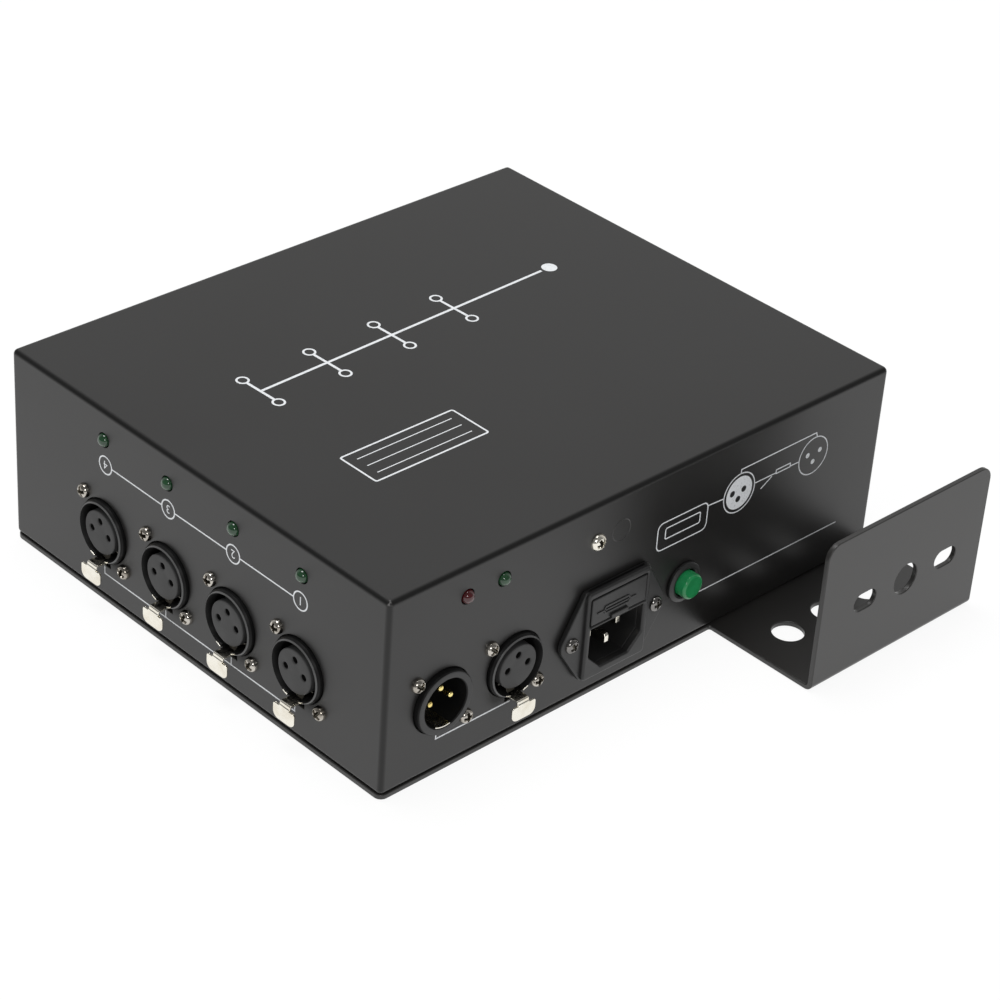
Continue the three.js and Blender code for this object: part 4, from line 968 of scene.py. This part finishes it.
makePiece("inletBody", onInlet(inletParts()), inletPlastic, replaces=["mains_inlet"], weighted=True)
spread, rise = blade["spread"], blade["rise"]
lineRecess, earthRecess = blade["recess"]
for name, parts in (("Live", bladeParts(-spread, rise, lineRecess)), ("Neutral", bladeParts(spread, rise, lineRecess)),
                    ("Earth", bladeParts(0.0, blade["earthDrop"], earthRecess))):
    makePiece(f"inlet{name}Blade", onInlet(parts), nickel, replaces=[f"inlet_{name.lower()}_blade"],
              weighted=True)
makePiece("fuseDrawer", onInlet(drawerParts() + fuseMark()), inletPlastic, "fuse_drawer",
          ["fuse_drawer"], weighted=True)
radius, height, reach = inlet["screw"]
for i, (side, turn) in enumerate(zip((-1, 1), inlet["screwTurns"])):
    head, cross = screwHead(radius, height, turn)
    screw, cross = (onInlet(parts, side * reach, inlet["drop"], inlet["ear"])
                    for parts in (head + shank(*inlet["shank"]), cross))
    makePiece(f"inletScrew{i + 1}", screw, blackMetal, replaces=[f"inlet_screw_{i + 1}"],
              second=(shadeMetal, cross))
print("mains inlet made")


# Terminator button and earth screw

button = {"cap": 4.85, "height": 5.6, "capBack": -4.5, "capRounds": (0, 0.3, 1.05, 0.6, 0), "capFlat": 0.55,
          "dip": (0.04, 0.1), "bezel": 7.7, "bezelTop": 1.9, "bezelEdge": 0.5, "slope": 1.6, "seat": 0.3, "bore": 5.15,
          "mouth": (0.2, 0.2, 0.8), "boreFloor": -7.8, "neck": 6.0, "back": -20.0, "nut": (7.0, -1.5, -4.0),
          "rounds": (0, 0.4, 0.2, 0.2, 0.2, 0.2, 0.1, 0.15, 0.4, 0.5, 0.2, 0.2, 0.1, 0)}


def bezelParts():
    nut, nutFront, nutBack = button["nut"]
    bezel, top, bore, neck, seat = (button[name] for name in ("bezel", "bezelTop", "bore", "neck", "seat"))
    back, floor, (aside, above, below) = button["back"], button["boreFloor"], button["mouth"]
    outline = [(0, back), (neck, back), (neck, nutBack), (nut, nutBack), (nut, nutFront), (neck, nutFront),
               (neck, seat), (bezel, seat), (bezel, top - button["bezelEdge"]), (bezel - button["slope"], top),
               (bore + aside, top - above), (bore, top - below), (bore, floor), (0, floor)]
    return turned(outline, button["rounds"], 72, 4)


def capParts():
    # Straight wall, round shoulder, and a crown that dips by a tenth of a millimetre towards its middle
    radius, back, top, (less, more) = button["cap"], button["capBack"], button["height"], button["dip"]
    line = [(0, back), (radius, back), (radius, top), (radius * button["capFlat"], top - less), (0, top - more)]
    return turned(line, button["capRounds"], 64, 7)


x, y = endPlaces["button"]
makePiece("buttonBezel", placed(bezelParts(), toEnd, x, y), inletPlastic,
          replaces=["terminator_switch"])
makePiece("buttonCap", placed(capParts(), toEnd, x, y), buttonGreen, "terminator_button",
          ["terminator_button"])
earth = {"head": 3.2, "height": 2.1, "turn": 0.35, "cross": (0.55, 0.17, 0.7), "crownPower": 2.3, "seat": 0.02,
         "shank": (1.9, 10.0), "nut": (4.0, 3.0), "nutFront": -1.5}
x, y = endPlaces["earth"]
nutRadius, nutDepth = earth["nut"]
nut = moved(sheet(circle(nutRadius, 6), (), nutDepth, 0.2), x, y, earth["nutFront"])
halves = screwHead(earth["head"], earth["height"], earth["turn"], earth["cross"], earth["crownPower"])
head, cross = (moved(half, x, y, earth["seat"]) for half in halves)
screw = head + moved(shank(*earth["shank"]), x, y, earth["seat"]) + nut
makePiece("earthScrew", mapped(screw, toEnd), nickel, replaces=["earth_screw"],
          second=(shadeMetal, mapped(cross, toEnd)))
print("button and earth screw made")


# Cover screws, flush in the underside

coverScrew = {"head": 2.9, "crown": 0.35, "crownPower": 8.0, "cross": (0.62, 0.17, 3.0), "step": 0.7, "recess": 0.2,
              "faceBack": -0.5, "coneFront": -0.4, "height": 1.6, "shank": 1.5, "length": 7.0}


def flushScrew(turn):
    # The head's crown is sunk level with the plate, and a cone goes under it
    radius, crown, shaft, front = (coverScrew[name] for name in ("head", "crown", "shank", "coneFront"))
    head, cross = screwHead(radius, crown, turn, coverScrew["cross"], coverScrew["crownPower"], 22, 40)
    (points, faces), (points, crossFaces) = head[0], cross[0]
    sunk = points.copy()
    sunk[:, 2] = np.where(points[:, 2] > 0, points[:, 2] - crown, coverScrew["faceBack"])
    cone = turned([(0, front), (radius, front), (shaft, -coverScrew["height"]), (shaft, -coverScrew["length"]),
                   (0, -coverScrew["length"])], 0.0, 24, 1)
    return [(sunk, faces)] + cone, [(sunk, crossFaces)]


def toUnderside(points):
    # Turned over, and set at one of the plate's four screw places
    return np.column_stack([points[:, 0] + sideX * placeX, points[:, 1] + sideY * placeY,
                            coverScrew["recess"] - points[:, 2]])


placeX, placeY = base["screwAt"]
for i, (sideX, sideY) in enumerate(((-1, -1), (1, -1), (-1, 1), (1, 1))):
    screw, cross = flushScrew(coverScrew["step"] * i)
    makePiece(f"coverScrew{i + 1}", mapped(screw, toUnderside), screwMetal, replaces=[f"cover_screw_{i + 1}"],
              second=(shadeMetal, mapped(cross, toUnderside)))
print("cover screws made")


# Print: white ink laid on the coat, each mark a thin sheet of its own

ink = {"depth": 0.05, "proud": 0.035, "edge": 0.012, "line": 0.55, "digit": 4.6}
frontMarks = {"rings": ((57.15, 56.3), (23.03, 56.4), (-11.2, 56.4), (-45.56, 56.6)), "radius": 3.4, "low": 11.7,
              "high": 14.8, "ticks": (-46.5, -12.3, 23.0, 56.0)}
endMarks = {"line": 0.46, "ringLine": 0.45, "low": 14.55, "high": 16.8, "lowEnds": (-95.6, -62.3),
            "switch": (3.1, 28.1, 46.1, 57.6, 2.6), "window": (7.0, 24.5, 50.0, 54.8, 0.9),
            "join": ((27.95, 55.6), (35.7, 55.2)), "disc": (43.6, 54.7, 7.8, 6.5),
            "discHoles": ((45.87, 55.42), (40.09, 55.39), (43.3, 52.2)), "discHole": 1.25, "plug": (82.0, 55.1, 7.5),
            "plugDots": ((85.35, 56.33), (78.91, 56.17), (82.09, 52.55)), "dot": 1.0,
            "over": ((43.46, 62.5), (43.51, 64.16), (82.28, 64.42), (82.9, 62.6)),
            "mid": ((51.4, 55.5), (62.2, 55.45)), "resistor": (62.2, 70.0, 54.9, 56.9, 0.3),
            "after": ((70.0, 55.4), (74.5, 55.35)), "knife": ((55.03, 51.7), (60.41, 54.84)),
            "foot": ((26.5, 19.8), (100.4, 19.7))}
topMarks = {"treeFrom": (-28.1, 76.0), "treeTo": (-23.8, -78.2), "treeLine": 1.1, "branches": (0.34, 0.94, 4),
            "half": 9.4, "node": 3.0, "nodeGap": 1.2, "leaf": 2.1, "leafLine": 0.8, "leafGap": 0.4,
            "panel": (24.9, 43.9, -76.0, -24.6, 1.2), "panelLine": 0.7, "rules": 3, "ruleLine": 0.4, "margin": 4.4}


def inked(outline, holes=()):
    return moved(sheet(outline, holes, ink["depth"], ink["edge"], steps=1), out=ink["proud"])


def stroke(points, width=ink["line"]):
    # A line of even width: each point is moved both ways along the mitre of its two pieces' normals
    points = np.array(points, float)
    along = np.diff(points, axis=0)
    along /= np.linalg.norm(along, axis=1, keepdims=True)
    normal = np.column_stack([-along[:, 1], along[:, 0]])
    first, last = np.concatenate([normal[:1], normal]), np.concatenate([normal, normal[-1:]])
    mitre = (first + last) / (1 + (first * last).sum(1, keepdims=True)) * width / 2
    return inked(np.concatenate([points - mitre, (points + mitre)[::-1]]))


def ringMark(x, y, radius, width=ink["line"]):
    return inked(circle(radius + width / 2, 48, x, y), [circle(radius - width / 2, 48, x, y)])


def boxMark(low, high, bottom, top, corner, width):
    outer = rectangle(high - low, top - bottom, corner, (low + high) / 2, (bottom + top) / 2)
    return inked(outer, [offsetLoop(outer, width)])


def digitMark(number, x, y):
    # The numeral's outline is filled as a mesh first, then turned and moved; like the rest it stands on its head
    curve = bpy.data.curves.new("digit", "FONT")
    curve.body = str(number)
    curve.size = 1.0
    curve.extrude = 0.01
    curve.resolution_u = 5
    holder = bpy.data.objects.new("digit", curve)
    mesh = bpy.data.meshes.new_from_object(holder)
    places = np.empty(3 * len(mesh.vertices))
    mesh.vertices.foreach_get("co", places)
    places = places.reshape(-1, 3)
    faces = [tuple(face.vertices) for face in mesh.polygons]
    bpy.data.objects.remove(holder)
    bpy.data.curves.remove(curve)
    bpy.data.meshes.remove(mesh)
    flat = ((places[:, :2].min(0) + places[:, :2].max(0)) / 2 - places[:, :2]) * ink["digit"]
    depth = np.where(places[:, 2] > 0, ink["proud"], ink["proud"] - ink["depth"])
    points = np.column_stack([flat + [x, y], depth])
    return [(points, [face for face in faces if len(face) == count]) for count in {len(face) for face in faces}]


def frontPrint(first):
    # The short upright lines end below the notches of the latches
    places, radius = frontMarks["rings"], frontMarks["radius"]
    parts = []
    for i, (x, y) in enumerate(places):
        parts += ringMark(x, y, radius) + digitMark(first + i, x, y)
    for (x, y), (nextX, nextY) in zip(places[:-1], places[1:]):
        gap = radius + ink["line"] / 2
        parts += stroke([(x - gap, y), (nextX + gap, nextY)])
    low, high, ticks = frontMarks["low"], frontMarks["high"], frontMarks["ticks"]
    parts += stroke([(ticks[0], high), (ticks[0], low), (ticks[-1], low), (ticks[-1], high)])
    for x in ticks[1:-1]:
        parts += stroke([(x, low + ink["line"] / 2), (x, high)])
    return parts


def endPrint():
    marks, fine = endMarks, endMarks["line"]
    first, last = marks["lowEnds"]
    parts = stroke([(first, marks["high"]), (first, marks["low"]), (last, marks["low"])])
    parts += boxMark(*marks["switch"], fine) + boxMark(*marks["window"], fine)
    x, y, radius, disc = marks["disc"]
    parts += ringMark(x, y, radius, marks["ringLine"])
    parts += inked(circle(disc, 48, x, y), [circle(marks["discHole"], 20, *place) for place in marks["discHoles"]])
    x, y, radius = marks["plug"]
    parts += ringMark(x, y, radius, marks["ringLine"])
    for place in marks["plugDots"]:
        parts += inked(circle(marks["dot"], 20, *place))
    for name in ("join", "over", "mid", "after", "knife", "foot"):
        parts += stroke(marks[name], fine)
    return parts + boxMark(*marks["resistor"], fine)


def treePrint():
    # A splitter's sign: one round start, a trunk, and eight branches that end in small rings
    start, end = (np.array(topMarks[name]) for name in ("treeFrom", "treeTo"))
    length = np.linalg.norm(end - start)
    along = (end - start) / length
    side = np.array([-along[1], along[0]])
    half, leaf, node, width = (topMarks[name] for name in ("half", "leaf", "node", "treeLine"))

    def place(down, aside):
        return start + along * down + side * aside

    parts = inked(circle(node, 48, *place(node, 0)))
    steps = np.linspace(*topMarks["branches"]) * length
    parts += stroke([place(2 * node + topMarks["nodeGap"], 0), place(steps[-1] - width / 2, 0)], width)
    for down in steps:
        for sign in (-1, 1):
            inner = sign * width / 2 if down < steps[-1] else 0.0
            outer = sign * (half - leaf - topMarks["leafGap"])
            parts += stroke([place(down, inner), place(down, outer)], width)
            parts += ringMark(*place(down, sign * half), leaf, topMarks["leafLine"])
    return parts


def panelPrint():
    # A write-on panel: a round-cornered frame with ruled lines
    low, high, bottom, top = topMarks["panel"][:4]
    parts, margin = boxMark(*topMarks["panel"], topMarks["panelLine"]), topMarks["margin"]
    for x in np.linspace(low + margin, high - margin, topMarks["rules"]):
        parts += stroke([(x, bottom + margin), (x, top - margin)], topMarks["ruleLine"])
    return parts


for name, parts, side in (("front", frontPrint(1), toFront), ("rear", frontPrint(5), toRear),
                          ("end", endPrint(), toEnd), ("topTree", treePrint(), toTop),
                          ("topPanel", panelPrint(), toTop)):
    makePiece(name + "Print", mapped(parts, side), whiteInk)
earthMark = {"section": [(3.9, -0.1), (4.5, -0.1), (4.2, 0.14)], "edge": 0.05, "place": (-15.1, 63.1)}
stamped = turned(earthMark["section"], earthMark["edge"], 40, 2, closed=True)
makePiece("earthRing", placed(stamped, toEnd, *earthMark["place"]), plainCoat)
print("print laid on")


# Inside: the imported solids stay, with finishes of their own

def boardSurface(place):
    # Green resist over copper: fine tracks by a stretched checker of noise, with tinned pads
    fine = place.noise(240.0, 2.0, 0.4, (1.0, 0.25, 1.0))
    track = fine.step(0.47, 0.50) * (1 - fine.step(0.52, 0.55))
    across = place.noise(260.0, 2.0, 0.4, (0.25, 1.0, 0.25))
    track = track.most(across.step(0.47, 0.50) * (1 - across.step(0.52, 0.55)))
    pad = place.noise(620.0, 1.0, 0.3).step(0.70, 0.73)
    tone = track.mix((0.010, 0.085, 0.028, 1.0), (0.022, 0.150, 0.050, 1.0))
    return {"Base Color": pad.mix(tone, (0.60, 0.58, 0.54, 1.0)), "Metallic": pad,
            "Roughness": pad.step(0.0, 1.0, (0.34, 0.25)), "Normal": (track + pad).bump(0.4, 3e-5)}


def coreSurface(place):
    # Laminated steel: thin dark seams stacked up the core, with varnish over them
    z = place.parts()[2]
    seam = z.maths("SINE", z * 2200.0).step(0.2, 0.9)
    rust = place.noise(160.0, 3.0, 0.6)
    tone = rust.step(0.35, 0.7).mix((0.10, 0.10, 0.11, 1.0), (0.16, 0.13, 0.10, 1.0))
    return {"Base Color": (seam * 0.5).mix(tone, (0.03, 0.03, 0.03, 1.0)),
            "Roughness": rust.step(0.3, 0.7, (0.40, 0.62)), "Normal": seam.bump(0.5, 4e-5)}


def sleeveSurface(place):
    # A shrunk sleeve: dark blue with one pale stripe, open at the top to the bare can
    x, y, z = place.parts()
    canTop = z.step(0.0352, 0.0356)
    stripe = (x - 0.045).size().step(0.0022, 0.0016) * (0.0 - y).step(0.0, 0.001)
    tone = stripe.mix((0.010, 0.012, 0.030, 1.0), (0.45, 0.46, 0.48, 1.0))
    wrinkle = place.noise(320.0, 3.0, 0.5)
    return {"Base Color": canTop.mix(tone, (0.72, 0.72, 0.73, 1.0)), "Metallic": canTop,
            "Roughness": wrinkle.step(0.3, 0.7, (0.24, 0.38)), "Normal": wrinkle.bump(0.3, 3e-5)}


def wireSurface(color, second=None):
    # Soft plastic insulation, slightly uneven; the earth wire's second colour winds round it
    def surface(place):
        x, y, z = place.parts()
        slow = place.noise(300.0, 2.0, 0.5)
        tone = slow.step(0.3, 0.7).mix(tuple(0.85 * part for part in color[:3]) + (1.0,), color)
        if second:
            winding = z.maths("SINE", (z + x + y) * 900.0).step(-0.1, 0.1)
            tone = winding.mix(tone, second)
        return {"Base Color": tone, "Roughness": slow.step(0.3, 0.7, (0.34, 0.46)), "Normal": slow.bump(0.2, 2e-5)}
    return surface


def fuseSurface(place):
    # Nickel caps at both ends of a clear tube, seen here as a pale glossy body
    y = place.parts()[1]
    cap = (y + 0.0169).size().step(0.0048, 0.0052)
    scratch = place.noise(900.0, 2.0, 0.6)
    return {"Base Color": cap.mix((0.62, 0.68, 0.66, 1.0), (0.80, 0.76, 0.68, 1.0)), "Metallic": cap,
            "Roughness": scratch.step(0.3, 0.7, (0.10, 0.24)), "Normal": scratch.bump(0.2, 8e-6)}


brown, blue, red = (0.110, 0.045, 0.020, 1.0), (0.015, 0.070, 0.290, 1.0), (0.360, 0.018, 0.014, 1.0)
green, yellow = (0.050, 0.260, 0.040, 1.0), (0.62, 0.48, 0.03, 1.0)
boards = ("front_socket_board", "rear_socket_board", "end_socket_board", "main_board", "supply_board")
insides = {"circuitBoard": (boardSurface, boards), "transformerCore": (coreSurface, ("supply_transformer",)),
           "capacitorSleeve": (sleeveSurface, ("supply_capacitor",)), "fuseGlass": (fuseSurface, ("fuse",)),
           "brownWire": (wireSurface(brown), ("live_wire",)), "blueWire": (wireSurface(blue), ("neutral_wire",)),
           "earthWire": (wireSurface(green, yellow), ("earth_wire",)), "redWire": (wireSurface(red), ("supply_lead",))}
for name, (surface, nodes) in insides.items():
    material = makeMaterial(name, {"IOR": 1.5}, surface)
    for node in nodes:
        holder = cadNodes[node].material_slots[0]
        holder.link = "OBJECT"
        holder.material = material
print("inside finishes set")


# Studio: a pale floor and plain soft light, with the room paler behind the case than in front of it

studio = {"floor": 14.0, "floorDrop": -2e-4, "floorColor": 0.80, "floorRough": 0.9, "floorShare": 0.86,
          "floorGlow": 1.05, "diffuse": 0.62, "near": 0.20, "far": 0.62, "behind": (-0.70, 0.714, 0.0),
          "fade": (-0.1, 0.6), "target": (0.0, 0.0, 0.03)}
lamps = {"topLamp": ((-0.35, -0.15, 2.4), 1.1, 24.0), "sideLamp": ((1.5, -1.2, 1.1), 0.45, 7.0)}

floorMaterial = bpy.data.materials.new("paleFloor")
floorMaterial.use_nodes = True
tree = floorMaterial.node_tree
shader = tree.nodes["Principled BSDF"]
shader.inputs["Base Color"].default_value = grey(studio["floorColor"])
shader.inputs["Roughness"].default_value = studio["floorRough"]
path = tree.nodes.new("ShaderNodeLightPath")
seen = Value(tree, path.outputs["Is Camera Ray"]).most(Value(tree, path.outputs["Is Glossy Ray"]))
seen = seen.most(Value(tree, path.outputs["Is Transmission Ray"]))
glow = tree.nodes.new("ShaderNodeEmission")
glow.inputs["Color"].default_value = grey(1.0)
glow.inputs["Strength"].default_value = studio["floorGlow"]
both = tree.nodes.new("ShaderNodeMixShader")
tree.links.new((seen * studio["floorShare"]).socket, both.inputs[0])
tree.links.new(shader.outputs[0], both.inputs[1])
tree.links.new(glow.outputs[0], both.inputs[2])
tree.links.new(both.outputs[0], tree.nodes["Material Output"].inputs["Surface"])

reach, drop = studio["floor"], studio["floorDrop"]
floorMesh = bpy.data.meshes.new("floor")
floorMesh.from_pydata([(-reach, -reach, drop), (reach, -reach, drop), (reach, reach, drop), (-reach, reach, drop)],
                      [], [(0, 1, 2, 3)])
floorMesh.materials.append(floorMaterial)
floor = bpy.data.objects.new("floor", floorMesh)
bpy.context.collection.objects.link(floor)

world = bpy.data.worlds.new("studio")
bpy.context.scene.world = world
world.use_nodes = True
tree = world.node_tree
background = tree.nodes["Background"]
path = tree.nodes.new("ShaderNodeLightPath")
cameraRay = Value(tree, path.outputs["Is Camera Ray"])
mirrorRay = Value(tree, path.outputs["Is Glossy Ray"]).most(Value(tree, path.outputs["Is Transmission Ray"]))
direction = Value(tree, tree.nodes.new("ShaderNodeTexCoord").outputs["Generated"])
facing = direction.add("ShaderNodeVectorMath", {"operation": "DOT_PRODUCT"}, {0: direction, 1: studio["behind"]},
                       "Value")
room = facing.step(*studio["fade"], (studio["near"], studio["far"]))
strength = studio["diffuse"] + mirrorRay * (room - studio["diffuse"])
strength = strength + cameraRay * (1.0 - strength)
tree.links.new(strength.socket, background.inputs["Strength"])
background.inputs["Color"].default_value = grey(1.0)


for name, (place, size, energy) in lamps.items():
    data = bpy.data.lights.new(name, "AREA")
    data.shape = "DISK"
    data.size = size
    data.energy = energy
    lamp = bpy.data.objects.new(name, data)
    lamp.location = place
    lamp.rotation_euler = (Vector(studio["target"]) - Vector(place)).to_track_quat("-Z", "Y").to_euler()
    bpy.context.collection.objects.link(lamp)
bpy.context.scene.view_settings.view_transform = "Standard"
print("studio set")
